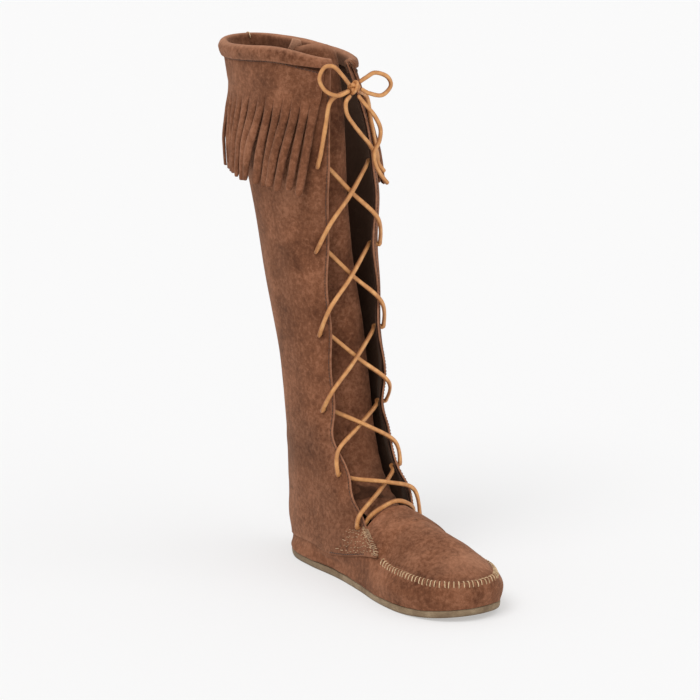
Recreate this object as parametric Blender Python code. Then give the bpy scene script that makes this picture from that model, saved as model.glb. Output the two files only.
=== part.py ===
"""A knee-high moccasin boot, front-laced and fringed.

Frame: metres, +Z up, toe towards -Y, the wearer's outer (lateral) side at -X. The origin is in
the flat face of the sole, under the middle of the foot.
"""

import bmesh
import bpy
import numpy as np

MM = 0.001

# ---- driving dimensions (metres) ----
SOLE_THICK = 0.008
BALL_Y = -0.066            # ahead of this line the sole springs up towards the toe
TOE_BULGE = 0.0022         # how far the suede bulges past the sole round the toe
TOE_SPRING = 1.5           # rise of the toe, metres per square metre ahead of the ball
SUEDE = 0.0016             # thickness of the suede
FACING_THICK = 0.0012
FACING_IN = SUEDE + 0.0009  # outer face of the shaft to outer face of the facing
GAP = 0.0003               # clearance between neighbouring pieces
SHELL_GAP = 0.0005         # clearance between nested curved layers
LAYER = SUEDE + SHELL_GAP  # one layer of suede and its clearance
FACING_LEVELS = (0.125, 0.955)
LACE_D = 0.0026
LACE_PASS = 0.0021         # how far each strand stands off the other where they cross
PAST_EDGE = 1.014          # the strand turns down just past the flap's edge (side is 1 there)
LACE_ARCH = (0.0056, 0.002, 0, 0, 0)   # rise of the crossings over the tongue, lowest first
LEAVE, ARRIVE = 0.34, 0.96  # where a strand leaves one flap and dips under the other, hole to hole
LEAVE_MEDIAL = 0.57        # the same for the lowest medial hole
HOLE_D = 0.0064
HOLE_IN = 0.0088           # lacing hole to flap edge
HOLE_HEIGHTS = (0.097, 0.207, 0.353, 0.512, 0.672, 0.835)
COLLAR_DROP = 0.011
FRINGE_BAND = 0.029        # solid height of the fringe below the collar
FRINGE_STRIP = 0.066       # length of the cut strips
FRINGE_EDGE = 0.945        # how far forward the strips reach, as a share of each half
BAND_EDGE = 0.965
FRINGE_LEAN = 1.4          # strips lean back as they hang, in side per metre of drop
LEAN_EASE = 0.4            # side within which the lean fades out towards the back
FRINGE_SECTIONS = 8
STRIPS_EACH = 5
SLIT = 0.0011
STITCH_R = 0.0009
LEG_RISE = 0.43            # height of the leg from hem to mouth, metres per unit of v

# ---- outline of the sole, from the heel round the lateral side to the toe and back ----
SOLE = np.array([
    (0, 124), (-20, 117.5), (-33, 97), (-36, 66), (-35, 28), (-38, -9), (-43, -47), (-41, -83),
    (-28, -110.5), (-4, -124), (22, -119), (38, -96.5), (44, -62.5), (40, -24), (33, 19),
    (32, 61), (31, 96.5), (19, 117.5)]) * MM

# ---- the leg: one row per level, v = 0 at the hem over the foot, v = 1 at the mouth ----
# v, front y, front z, back y, back z, lateral half width, medial half width, squareness,
# half lacing gap, centre x (mm)
LEG = np.array([
    (0.00, -108, 44, 130, 14, 38.5, 38.5, 2.6, 37.2, 0),
    (0.05, -55, 48.2, 130.5, 31, 36, 36, 2.55, 31.5, 0),
    (0.10, -25, 49, 131, 48, 34, 34, 2.5, 26.3, 0),
    (0.18, -3, 77, 131, 80, 34, 34, 2.4, 26, -1),
    (0.26, 22, 105, 130, 112, 34.5, 34.5, 2.3, 25.5, -2),
    (0.34, 29.5, 130, 131, 144, 35.5, 35.5, 2.2, 25, -3),
    (0.42, 29.5, 159, 134, 176, 36.5, 36.5, 2.2, 24.7, -4),
    (0.50, 32, 193, 141, 210, 38.5, 38.5, 2.2, 24.2, -6),
    (0.60, 35, 237, 147, 252, 42, 42, 2.2, 23.3, -9),
    (0.70, 32.5, 281, 154, 297, 44.5, 44.5, 2.2, 22.3, -12),
    (0.80, 25, 323, 165, 340, 45.8, 43, 2.2, 22.7, -15),
    (0.90, 24, 367, 172, 383, 47, 37.5, 2.2, 20, -19),
    (1.00, 34.5, 420, 179.5, 430, 45.5, 30, 2.2, 8.5, -25.5)])
RIM_RISE, RIM_RISE_AT, RIM_RISE_WIDE = 6.7, -0.73, 0.17  # the mouth arches up at the lateral front (mm)
HEM_DIP, HEM_DIP_AT, HEM_DIP_WIDE = 6.5, 0.79, 0.1        # the hem dips over the middle of the foot (mm)

# ---- moccasin seam round the toe, from the lateral corner of the shaft to the medial one (mm) ----
SEAM = np.array([(-34.6, -41, 32.8), (-36.2, -53, 30.8), (-36.5, -70, 30.8), (-35, -91, 31),
                 (-27, -111, 31), (-6, -124, 31.5), (18, -119, 31.5), (33, -97, 31),
                 (37.2, -72, 31), (36.6, -53, 31), (34.6, -41, 32.8)]) * MM

# ---- height of the plug's middle line, from toe (0) to throat (1) (mm) ----
INSTEP = [(0, 32), (0.05, 35.5), (0.12, 40), (0.29, 47), (0.54, 54.5), (0.75, 60), (1, 65)]

# ---- tongue: share of length, then y, z, lateral x, middle x, medial x, how far the lateral and
# the medial edge lie behind the middle, and how far both lie below it (mm) ----
TONGUE = np.array([
    (0.00, -17, 58.5, -17, 0, 17, 0, 0, 9),
    (0.04, -3, 62, -18, 0, 17, 1, 1, 8),
    (0.08, 12, 66, -20, -1, 17, 3, 2, 5),
    (0.12, 28, 77, -22, -2, 17, 6, 3, 2),
    (0.20, 46, 107, -27, -2, 19, 8, 3, 0),
    (0.28, 53, 137, -29, -3, 19, 10, 3, 0),
    (0.42, 54, 197, -33, -9, 12, 12, 3, 0),
    (0.59, 53, 265, -42, -18, 0, 15, 3, 0),
    (0.69, 47, 308, -49, -27, -8, 17, 3, 0),
    (0.79, 44, 350, -53, -32, -12, 18, 3, 0),
    (0.89, 45, 389, -54, -35, -14, 18, 3, 0),
    (0.985, 54, 431.5, -53, -34, -14, 17, 4, 0)])
TONGUE_PIVOT = (0.0, -0.014, 0.0585)

# ---- free ends of the lace, chosen by hand (mm) ----
KNOT_AT = np.array([-22, 20, 402]) * MM
KNOT_SIZE = np.array([6.5, 4.5, 5.5]) * MM
LOOP_LEFT = [(-27.5, 18.5, 405.5), (-34, 18.5, 413), (-40, 21, 419.5), (-46.5, 24, 419), (-50, 26, 410),
             (-45, 25, 400.5), (-36, 21, 396.5), (-28.5, 18, 399.5)]
LOOP_RIGHT = [(-16, 20, 406.5), (-11, 19, 409.5), (-4, 17, 413), (6, 15, 409.5), (9.5, 15, 402),
              (2, 16, 395), (-9, 17.5, 397), (-15.5, 18.5, 400.5)]
TAIL_LEFT = [(-26.5, 18.5, 396), (-31, 17.5, 391), (-29, 19, 382), (-22, 20.5, 373), (-14, 21, 364),
             (-6, 21.5, 355.5), (-0.5, 21, 346), (2, 20, 339), (6, 19, 333.5)]
TAIL_RIGHT = [(-19, 18, 395.5), (-13.5, 16.5, 388.5), (-6, 15.5, 380), (0, 15.5, 369), (-0.5, 16, 359),
              (-5, 16.5, 350), (-3.5, 17, 340), (2, 17, 331), (8, 17, 324)]


# ---------------------------------------------------------------- curves and surfaces
def eased(keys, x):
    """Smooth curve through keys, rows of (x, value)."""
    keys = np.asarray(keys, float)
    xs, ys = keys[:, 0], keys[:, 1]
    slope = np.gradient(ys, xs)
    x = np.clip(np.asarray(x, float), xs[0], xs[-1])
    i = np.clip(np.searchsorted(xs, x, side="right") - 1, 0, len(xs) - 2)
    width = xs[i + 1] - xs[i]
    t = (x - xs[i]) / width
    return ((2 * t**3 - 3 * t**2 + 1) * ys[i] + (t**3 - 2 * t**2 + t) * width * slope[i]
            + (3 * t**2 - 2 * t**3) * ys[i + 1] + (t**3 - t**2) * width * slope[i + 1])


def spline(points, count, closed=False):
    """Catmull-Rom curve through the points, as count points."""
    p = np.asarray(points, float)
    n = len(p)
    if closed:
        t = np.linspace(0, n, count, endpoint=False)
        i = t.astype(int)
        p0, p1, p2, p3 = p[(i - 1) % n], p[i % n], p[(i + 1) % n], p[(i + 2) % n]
    else:
        t = np.linspace(0, n - 1, count)
        i = np.minimum(t.astype(int), n - 2)
        q = np.vstack([2 * p[0] - p[1], p, 2 * p[-1] - p[-2]])
        p0, p1, p2, p3 = q[i], q[i + 1], q[i + 2], q[i + 3]
    f = (t - i)[:, None]
    return 0.5 * (2 * p1 + (p2 - p0) * f + (2 * p0 - 5 * p1 + 4 * p2 - p3) * f**2
                  + (3 * p1 - p0 - 3 * p2 + p3) * f**3)


def unit(v):
    v = np.asarray(v, float)
    return v / np.linalg.norm(v, axis=-1, keepdims=True)


def toe_lift(y):
    return TOE_SPRING * np.minimum(0, np.asarray(y) - BALL_Y) ** 2


def outline(inset, count=56):
    """The sole's outline moved in by inset, as plan points."""
    p = spline(SOLE, count * 4, closed=True)
    along = unit(np.roll(p, -1, 0) - np.roll(p, 1, 0))
    return (p + inset * np.column_stack([along[:, 1], -along[:, 0]]) * -1)[::4]


def leg(v, side, off=0.0):
    """Point of the leg's outer surface. side runs from the lateral lacing edge (-1) round the
    back (0) to the medial one (1), and off moves the point outward."""
    v, side = np.broadcast_arrays(np.asarray(v, float), np.asarray(side, float))
    if np.any(off):
        step = 1e-3
        along = leg(v, side + step) - leg(v, side - step)
        up = leg(np.minimum(v + step, 1), side) - leg(np.maximum(v - step, 0), side)
        return leg(v, side) + unit(np.cross(up, along)) * np.asarray(off)[..., None]
    y_front, z_front, y_back, z_back, a_lateral, a_medial, n, gap, xc = (
        eased(LEG[:, [0, k]], v) for k in range(1, 10))
    a = np.where(side > 0, a_medial, a_lateral)
    phi0 = np.arcsin(np.clip(gap / a, 0, 1) ** (n / 2))
    phi = np.pi - (np.pi - phi0) * np.abs(side)
    s, c = np.abs(np.sin(phi)), np.cos(phi)
    x = xc + np.sign(side) * a * s ** (2 / n)
    k = -np.sign(c) * np.abs(c) ** (2 / n)
    y = (y_front + y_back) / 2 + k * (y_back - y_front) / 2
    z = (z_front + z_back) / 2 + k * (z_back - z_front) / 2
    rim = np.clip((v - 0.8) / 0.2, 0, 1) ** 2 * np.exp(-(((side - RIM_RISE_AT) / RIM_RISE_WIDE) ** 2))
    hem = np.clip(1 - v / 0.08, 0, 1) ** 2 * np.exp(-(((np.abs(side) - HEM_DIP_AT) / HEM_DIP_WIDE) ** 2))
    z = z + RIM_RISE * rim - HEM_DIP * hem
    return np.stack([x, y, z], -1) * MM


def side_at(v, side, distance):
    """The side value that lies distance inside the lacing edge (side is -1 or 1)."""
    s = np.linspace(1, 0.4, 200)
    p = leg(v, side * s)
    run = np.concatenate([[0], np.cumsum(np.linalg.norm(np.diff(p, axis=0), axis=1))])
    return side * np.interp(distance, run, s)


def level_below_top(side, drop):
    """The v that lies drop below the mouth, along the surface."""
    v = np.linspace(1, 0.6, 200)
    p = leg(v, side)
    run = np.concatenate([[0], np.cumsum(np.linalg.norm(np.diff(p, axis=0), axis=1))])
    return np.interp(drop, run, v)


# ---------------------------------------------------------------- meshes
def material(name, colour, roughness):
    made = bpy.data.materials.new(name)
    made.use_nodes = True
    shader = made.node_tree.nodes["Principled BSDF"]
    shader.inputs["Base Color"].default_value = (*colour, 1)
    shader.inputs["Roughness"].default_value = roughness
    shader.inputs["Metallic"].default_value = 0
    return made


def add_object(name, verts, faces, finish, origin=(0, 0, 0)):
    mesh = bpy.data.meshes.new(name)
    origin = np.asarray(origin, float)
    mesh.from_pydata([tuple(np.asarray(p) - origin) for p in verts], [], faces)
    mesh.materials.append(finish)
    body = bpy.data.objects.new(name, mesh)
    body.location = origin
    bpy.context.scene.collection.objects.link(body)
    tidy = bmesh.new()
    tidy.from_mesh(mesh)
    bmesh.ops.recalc_face_normals(tidy, faces=tidy.faces)
    tidy.to_mesh(mesh)
    tidy.free()
    mesh.shade_smooth()
    return body


def grid_faces(rows, cols, closed_cols=False, skip=()):
    faces = []
    for r in range(rows - 1):
        for c in range(cols if closed_cols else cols - 1):
            if (r, c) not in skip:
                d = (c + 1) % cols
                faces.append((r * cols + c, r * cols + d, (r + 1) * cols + d, (r + 1) * cols + c))
    return faces


def sheet(name, outer, inner, finish, skip=(), origin=(0, 0, 0)):
    """A closed panel between two matching grids of points, without the skipped cells."""
    rows, cols = outer.shape[:2]
    count = rows * cols
    front = grid_faces(rows, cols, skip=skip)
    faces = front + [tuple(i + count for i in reversed(f)) for f in front]
    edges = {}
    for f in front:
        for a, b in zip(f, f[1:] + f[:1]):
            edges[(a, b)] = edges.get((a, b), 0) + 1
    for a, b in list(edges):
        if (b, a) not in edges:
            faces.append((b, a, a + count, b + count))
    verts = np.vstack([outer.reshape(-1, 3), inner.reshape(-1, 3)])
    used = sorted({i for f in faces for i in f})
    where = {i: k for k, i in enumerate(used)}
    return add_object(name, verts[used], [tuple(where[i] for i in f) for f in faces], finish, origin)


def slab(name, rings, finish):
    """A closed solid from loops of points stacked upward, capped across from side to side."""
    count = len(rings[0])
    faces = grid_faces(len(rings), count, closed_cols=True)
    half = count // 2
    for base, flip in ((0, True), ((len(rings) - 1) * count, False)):
        for k in range(half):
            a, b = k, k + 1
            c, d = count - 1 - k, (count - k) % count
            quad = list(dict.fromkeys(base + i for i in (a, b, c, d)))
            if len(quad) > 2:
                faces.append(tuple(quad if flip else quad[::-1]))
    return add_object(name, np.vstack(rings), faces, finish)


def tube(name, points, diameter, finish, sides=2, origin=(0, 0, 0)):
    curve = bpy.data.curves.new(name, "CURVE")
    curve.dimensions = "3D"
    curve.bevel_depth = diameter / 2
    curve.bevel_resolution = sides
    curve.render_resolution_u = 0
    curve.use_fill_caps = True
    line = curve.splines.new("POLY")
    line.points.add(len(points) - 1)
    for spot, p in zip(line.points, points):
        spot.co = (*(np.asarray(p) - np.asarray(origin)), 1)
    curve.materials.append(finish)
    body = bpy.data.objects.new(name, curve)
    body.location = origin
    bpy.context.scene.collection.objects.link(body)
    return body


def punch(panel, side, off_from, off_to, first=0):
    """Cuts the lacing holes, from the first one up, through a panel on one side of the leg."""
    for k, v in enumerate(HOLE_HEIGHTS[first:]):
        s = side_at(v, side, HOLE_IN)
        a, b = leg(v, s, off_from), leg(v, s, off_to)
        cutter = round_bar(f"{panel.name}_hole_{k}", a, b, HOLE_D / 2)
        cut = panel.modifiers.new(f"hole_{k}", "BOOLEAN")
        cut.operation = "DIFFERENCE"
        cut.solver = "EXACT"
        cut.object = cutter


def round_bar(name, a, b, radius, sides=10):
    along = unit(b - a)
    x = unit(np.cross(along, (0, 0, 1)))
    y = np.cross(along, x)
    turn = np.linspace(0, 2 * np.pi, sides, endpoint=False)
    ring = radius * (np.outer(np.cos(turn), x) + np.outer(np.sin(turn), y))
    faces = grid_faces(2, sides, closed_cols=True)
    faces += [tuple(range(sides)), tuple(range(2 * sides - 1, sides - 1, -1))]
    body = add_object(name, np.vstack([a + ring, b + ring]), faces, SUEDE_BROWN)
    body.hide_render = True
    body.display_type = "WIRE"
    return body


# ---------------------------------------------------------------- the foot
def make_outsole():
    profile = [(0.0016, 0), (0.0003, 0.0014), (0, 0.004), (0.0004, 0.0068), (0.0014, SOLE_THICK)]
    rings = []
    for inset, z in profile:
        p = outline(inset)
        rings.append(np.column_stack([p, z + toe_lift(p[:, 1])]))
    slab("outsole", rings, CREPE)


def flat_piece(name, inset, z_low, z_high, finish, edge=0.0):
    rings = []
    for extra, z in ((0, z_low), (0, z_high - edge), (edge, z_high)) if edge else ((0, z_low), (0, z_high)):
        p = outline(inset + extra)
        rings.append(np.column_stack([p, z + toe_lift(p[:, 1])]))
    slab(name, rings, finish)


def nearest_on_sole(points):
    plan = spline(SOLE, 720, closed=True)
    return np.array([plan[np.argmin(np.linalg.norm(plan - p[:2], axis=1))] for p in points])


def wall_stations(front=30, rear=34):
    """Foot of the vamp's wall, its outward direction, and the wall's three upper loops. The first
    stations run round the toe under the seam, and the rest run round the heel under the hem."""
    seam = spline(SEAM, front)
    side = np.linspace(0.95, -0.95, rear)
    hem = leg(0.0, side, -LAYER)
    near = nearest_on_sole(np.vstack([seam, hem]))
    middle = np.column_stack([np.zeros(len(near)), np.clip(near[:, 1], -0.075, 0.08)])
    outward = unit(near - middle)
    spring = toe_lift(near[:, 1])
    toe, spring_toe = near[:front], spring[:front]
    place = np.arange(front)
    bulge = outward[:front] * (TOE_BULGE * np.clip(np.minimum(place, front - 1 - place) / 5, 0, 1))[:, None]
    low_toe = np.column_stack([toe + bulge, 0.0175 + 0.8 * spring_toe])
    high_toe = np.column_stack([0.45 * toe + 0.55 * seam[:, :2] + 0.8 * bulge, 0.0255 + 0.5 * spring_toe])
    foot = np.column_stack([near - outward * 0.0012, SOLE_THICK + GAP + spring])
    low = np.vstack([low_toe, 0.5 * foot[front:] + 0.5 * hem])
    high = np.vstack([high_toe, hem])
    top = np.vstack([seam, leg(0.046, side, -LAYER - SHELL_GAP)])
    return foot, outward, low, high, top, front


def make_vamp():
    foot, outward, low, high, top, front_count = wall_stations()
    floor = foot.copy()
    floor[:, :2] -= outward * 0.008
    floor[:, 2] = SOLE_THICK + GAP + toe_lift(floor[:, 1])
    outer = np.stack([floor, foot, low, high, top])
    inner = inward(outer, SUEDE)
    rows, count = outer.shape[:2]
    total = rows * count
    front = grid_faces(rows, count, closed_cols=True)
    faces = front + [tuple(i + total for i in reversed(f)) for f in front]
    rim = (rows - 1) * count
    faces += [(rim + c, rim + (c + 1) % count, rim + (c + 1) % count + total, rim + c + total)
              for c in range(count)]
    faces += across(0, front_count, count) + across(total, front_count, count)
    add_object("vamp", np.vstack([outer.reshape(-1, 3), inner.reshape(-1, 3)]), faces, SUEDE_BROWN)


def across(base, front, count):
    """Strips across a loop whose first part runs round the toe and the rest round the heel."""
    start = front // 2
    faces = []
    half = count // 2
    for k in range(half):
        quad = [start - k, start - k - 1, start + k + 1, start + k]
        quad = list(dict.fromkeys(base + i % count for i in quad))
        if len(quad) > 2:
            faces.append(tuple(quad))
    return faces


def inward(grid, thickness):
    """The grid (rows up, columns round a closed loop) moved inward by the thickness."""
    along = np.roll(grid, -1, 1) - np.roll(grid, 1, 1)
    up = np.gradient(grid, axis=0)
    normal = unit(np.cross(along, up))
    return grid - normal * thickness * inward_sign(grid, normal)


def inward_sign(grid, normal):
    centre = grid.mean(axis=(0, 1)) + np.array([0, 0, 0.004])
    return np.where(np.sum((grid - centre) * normal, -1, keepdims=True) > 0, 1.0, -1.0)


def plug_edges(count):
    """Matching points of the plug's lateral and medial edges, from the toe to the throat."""
    seam = spline(SEAM, 4 * count + 1)
    mid = 2 * count
    share = np.linspace(0, 1, count)
    lateral = seam[mid - (share * mid).astype(int)]
    medial = seam[mid + (share * mid).astype(int)]
    v = np.linspace(0, 0.1, count // 2 + 1)[1:]
    return (np.vstack([lateral, leg(v, -1)]), np.vstack([medial, leg(v, 1)]))


def make_plug():
    lateral, medial = plug_edges(16)
    across_u = np.linspace(-1, 1, 11)
    lateral, medial = lateral[1:], medial[1:]
    run = np.linalg.norm(np.diff((lateral + medial) / 2, axis=0), axis=1)
    share = np.concatenate([[0.03], 0.03 + 0.97 * np.cumsum(run) / run.sum()])
    width = medial - lateral
    trim = (0.0012 / np.linalg.norm(width, axis=1))[:, None]
    lateral, medial = lateral + width * trim, medial - width * trim
    height = eased(INSTEP, share) * MM
    shape = (1 - across_u**2) ** 0.8
    grid = (lateral[:, None] * (1 - across_u[None, :, None]) / 2
            + medial[:, None] * (1 + across_u[None, :, None]) / 2)
    grid[..., 2] += (height[:, None] - grid[..., 2]) * shape[None, :]
    throat = np.clip((share - 0.8) / 0.2, 0, 1)
    grid[..., 1] += 0.0008 - (throat**2)[:, None] * 0.004 * shape[None, :]
    sheet("plug", grid, thinned(grid, SUEDE, up=True), SUEDE_BROWN)


def thinned(grid, thickness, up=False, toward=None):
    """The grid moved off by the thickness: downward, or toward the given direction."""
    normal = unit(np.cross(np.gradient(grid, axis=1), np.gradient(grid, axis=0)))
    aim = np.array([0, 0, -1.0]) if up else np.asarray(toward, float)
    sign = np.where(np.sum(normal * aim, -1, keepdims=True) > 0, 1.0, -1.0)
    return grid + normal * sign * thickness


def make_stitching():
    seam = spline(SEAM, 44)[2:-2]
    seam[:, 2] += 0.0031
    tube("moc_stitching", seam, 2 * STITCH_R, THREAD)


# ---------------------------------------------------------------- the leg
def leg_panel(name, v_range, side_range, off, thickness, finish, rows, cols, holes=0):
    v = np.linspace(*v_range, rows)[:, None]
    side = np.linspace(*side_range, cols)[None, :]
    panel = sheet(name, leg(v, side, off), leg(v, side, off - thickness), finish)
    if holes:
        punch(panel, holes, off - thickness - 0.004, off + 0.004)
    return panel


def make_shaft():
    seam_half = 0.004
    leg_panel("shaft_lateral", (0, 1), (-1, -seam_half), 0, SUEDE, SUEDE_BROWN, 19, 21, holes=-1)
    leg_panel("shaft_medial", (0, 1), (seam_half, 1), 0, SUEDE, SUEDE_BROWN, 19, 21, holes=1)
    leg_panel("back_seam_strip", (0.03, 0.8), (-0.045, 0.045), LAYER, SUEDE, SUEDE_BROWN, 16, 3)
    leg_panel("heel_counter", (0.025, 0.2), (-0.4, 0.4), -2 * LAYER - 2 * SHELL_GAP, 0.0014, BOARD, 6, 17)


def make_facings():
    for name, side in (("facing_lateral", -1), ("facing_medial", 1)):
        v = np.linspace(*FACING_LEVELS, 19)
        near = np.array([side_at(k, side, 0.003) for k in v])
        far = np.array([side_at(k, side, 0.017) for k in v])
        share = np.array([0, 0.5, 1])
        s = near[:, None] + (far - near)[:, None] * share[None, :]
        outer = leg(v[:, None], s, -FACING_IN)
        inner = leg(v[:, None], s, -FACING_IN - FACING_THICK)
        panel = sheet(name, outer, inner, SUEDE_DARK)
        punch(panel, side, -0.009, 0.003, first=1)


def make_collar():
    """A band folded over the mouth: outer leg, top and inner leg, swept round the edge."""
    out_low, out_high = LAYER + SHELL_GAP, LAYER + 0.0029
    inner_face, inner_back = -LAYER, -LAYER - SUEDE
    drop = COLLAR_DROP
    profile = [(out_low, -drop), (out_high - 0.0009, -drop - 0.0002), (out_high, -drop * 0.55),
               (out_high - 0.0004, -0.0012), (0.0012, 0.0021), (-0.0022, 0.0017),
               (inner_back, -0.0008), (inner_back, -0.009), (inner_face, -0.009),
               (inner_face, 0.0002), (out_low, GAP)]
    side = np.linspace(-1, 1, 41)
    base = leg(1, side)
    outward = unit(leg(1, side, 0.001) - base)
    up = unit(base - leg(0.98, side))
    rings = [[base[k] + outward[k] * a + up[k] * b for a, b in profile] for k in range(len(side))]
    count = len(profile)
    faces = grid_faces(len(side), count, closed_cols=True)
    end = (len(side) - 1) * count
    faces += cap(profile, 0, True) + cap(profile, end, False)
    add_object("collar", np.array(rings).reshape(-1, 3), faces, SUEDE_BROWN)


def cap(profile, base, flip):
    """Faces over the end of the folded band: strips between its outer and inner lines."""
    count = len(profile)
    pairs = [(0, count - 1), (1, count - 1), (2, count - 1), (3, count - 1), (4, count - 2),
             (5, count - 2), (6, count - 2), (7, count - 3)]
    faces = []
    for (a, b), (c, d) in zip(pairs, pairs[1:]):
        quad = list(dict.fromkeys((a, c, d, b)))
        faces.append(tuple(base + i for i in (quad if flip else quad[::-1])))
    return faces


def make_fringe_band():
    side = np.linspace(-BAND_EDGE, BAND_EDGE, 41)
    rows = np.linspace(0.0035, COLLAR_DROP + FRINGE_BAND, 4)
    v = np.array([[level_below_top(s, d) for s in side] for d in rows])
    outer = leg(v, side[None, :], LAYER)
    inner = leg(v, side[None, :], SHELL_GAP)
    sheet("fringe_band", outer, inner, SUEDE_BROWN)


def strip_point(side, down, off):
    """A point of the hanging fringe, down below the slit line at this side."""
    start = level_below_top(side, COLLAR_DROP + FRINGE_BAND + 0.0005)
    root = leg(start, side, off)
    v = start - down / LEG_RISE
    lying = leg(v, side - FRINGE_LEAN * down * np.tanh(side / LEAN_EASE), off)
    outward = unit((leg(v, side, MM) - leg(v, side)) * np.array([1, 1, 0]))
    clear = max(0.0, float(np.dot((root - lying) * np.array([1, 1, 0]), outward)))
    return lying + outward * (clear + 0.0006 * min(1, down / 0.02))


def make_fringe():
    """Cut strips below the fringe band, in sections that each swing on their slit line."""
    span = 2 * FRINGE_EDGE
    slit_share = SLIT / 0.0088
    drops = np.array([0, 0.003, 0.016, 0.034, 0.053, FRINGE_STRIP])
    for k in range(FRINGE_SECTIONS):
        first = -FRINGE_EDGE + span * k / FRINGE_SECTIONS
        step = span / FRINGE_SECTIONS / STRIPS_EACH
        cols, skip = [], []
        for n in range(STRIPS_EACH):
            start = first + n * step
            cols += [start + step * slit_share / 2, start + step * (1 - slit_share / 2)]
        for n in range(STRIPS_EACH - 1):
            skip += [(r, 2 * n + 1) for r in range(1, len(drops) - 1)]
        outer = np.array([[strip_point(s, d, LAYER) for s in cols] for d in drops])
        inner = np.array([[strip_point(s, d, SHELL_GAP) for s in cols] for d in drops])
        pivot = strip_point(first + span / FRINGE_SECTIONS / 2, 0, LAYER + GAP)
        sheet(f"fringe_{k + 1}", outer, inner, SUEDE_BROWN, skip=skip, origin=pivot)


def tongue_grid(rows=22, cols=7):
    share = np.linspace(0, 0.985, rows)
    y, z, lateral, middle, medial, back_l, back_m, drop = (
        eased(TONGUE[:, [0, k]], share) for k in range(1, 9))
    t = np.linspace(-1, 1, cols)[None, :]
    at_l, at_0, at_m = t * (t - 1) / 2, 1 - t**2, t * (t + 1) / 2
    x = lateral[:, None] * at_l + middle[:, None] * at_0 + medial[:, None] * at_m
    back = back_l[:, None] * at_l + back_m[:, None] * at_m
    return np.stack([x, y[:, None] + back, z[:, None] - drop[:, None] * t**2], -1) * MM


def make_tongue():
    grid = tongue_grid()
    sheet("tongue", grid, thinned(grid, SUEDE, toward=(0, 1, -0.3)), SUEDE_BROWN, origin=TONGUE_PIVOT)


# ---------------------------------------------------------------- the lace
def lace_strand(first):
    """One end of the lace, from inside its lowest hole up to the hole under the bow."""
    over, under = LACE_D / 2 + 3 * GAP, -FACING_IN - FACING_THICK - LACE_D / 2 - 3 * GAP
    points = []
    side = first
    for k, v in enumerate(HOLE_HEIGHTS):
        s = side_at(v, side, HOLE_IN)
        points += [leg(v, s, under), leg(v, s, -0.0015), leg(v, s, over)]
        if k == len(HOLE_HEIGHTS) - 1:
            break
        v_next = HOLE_HEIGHTS[k + 1]
        leave = v + (LEAVE_MEDIAL if k == 0 and side > 0 else LEAVE) * (v_next - v)
        arrive = v + ARRIVE * (v_next - v)
        a = leg(leave, side * PAST_EDGE, over + GAP)
        b = leg(arrive, side_at(arrive, -side, 0.001), under - 3 * GAP)
        middle = (v + v_next) / 2
        forward = unit(leg(middle, -1, MM) - leg(middle, -1) + leg(middle, 1, MM) - leg(middle, 1))
        on_top = (side < 0) if k >= 2 else (side > 0)
        mid = (a + b) / 2 + forward * ((LACE_PASS if on_top else -LACE_PASS) + LACE_ARCH[k])
        points += [a, mid, b]
        side = -side
    return points, side


def to_the_knot(side):
    """From the top hole over the flap's outer face and past its edge."""
    over = LACE_D / 2 + 3 * GAP
    return [leg(v, side_at(v, side, d), over + extra)
            for v, d, extra in ((0.862, 0.0062, 0), (0.91, 0.0028, 0.0004), (0.945, 0.0, 0.003))]


def make_lace():
    one, end_side = lace_strand(-1)
    two, _ = lace_strand(1)
    bar = [(-21, -2, 57.5), (-10.5, -6.5, 65.5), (0, -7.5, 68.5), (10.5, -6.5, 65.5), (21, -2, 57.5)]
    knot_ends = {-1: (-29.5, 22, 398), 1: (-14.5, 21.5, 397)}
    up_one = to_the_knot(end_side) + [np.array(knot_ends[end_side]) * MM]
    up_two = to_the_knot(-end_side) + [np.array(knot_ends[-end_side]) * MM]
    route = (up_one[::-1] + one[::-1] + [np.array(p) * MM for p in bar] + two + up_two)
    tube("lace", smooth_route(route), LACE_D, LEATHER)


def smooth_route(route):
    """Points of a smooth curve through the route, closer together where it turns."""
    return spline(np.array(route), 2 * len(route) - 1)


def make_bow():
    bpy.ops.mesh.primitive_uv_sphere_add(segments=14, ring_count=8, radius=1)
    ball = bpy.context.object
    ball.name = ball.data.name = "bow_knot"
    for vert in ball.data.vertices:
        vert.co = [c * r for c, r in zip(vert.co, KNOT_SIZE)]
    ball.location = KNOT_AT
    ball.data.materials.append(LEATHER)
    ball.data.shade_smooth()
    for name, points in (("bow_loop_left", LOOP_LEFT), ("bow_loop_right", LOOP_RIGHT)):
        tube(name, spline(points, 22) * MM, LACE_D, LEATHER)
    for name, points in (("lace_tail_left", TAIL_LEFT), ("lace_tail_right", TAIL_RIGHT)):
        tube(name, spline(points, 20) * MM, LACE_D, LEATHER, origin=np.array(points[0]) * MM)


# ---------------------------------------------------------------- the boot
for left_over in list(bpy.data.objects):
    bpy.data.objects.remove(left_over)

SUEDE_BROWN = material("brown_suede", (0.20, 0.085, 0.045), 0.95)
SUEDE_DARK = material("dark_suede", (0.11, 0.05, 0.03), 0.95)
CREPE = material("crepe_rubber", (0.29, 0.20, 0.10), 0.7)
LEATHER = material("lace_leather", (0.62, 0.30, 0.10), 0.45)
THREAD = material("cream_thread", (0.66, 0.48, 0.30), 0.8)
BOARD = material("fibre_board", (0.36, 0.26, 0.17), 0.9)
FOAM = material("footbed_lining", (0.42, 0.28, 0.17), 0.9)

make_outsole()
flat_piece("insole_board", 0.0062, 0.0102, 0.0120, BOARD)
flat_piece("footbed", 0.0078, 0.0123, 0.0163, FOAM, edge=0.0008)
make_vamp()
make_plug()
make_stitching()
make_shaft()
make_facings()
make_collar()
make_fringe_band()
make_fringe()
make_tongue()
make_lace()
make_bow()
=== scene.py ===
"""Looks of the knee-high fringed moccasin boot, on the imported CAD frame.

Frame: metres, +Z up, toe towards -Y, the wearer's outer (lateral) side at -X.
"""

import math

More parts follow.
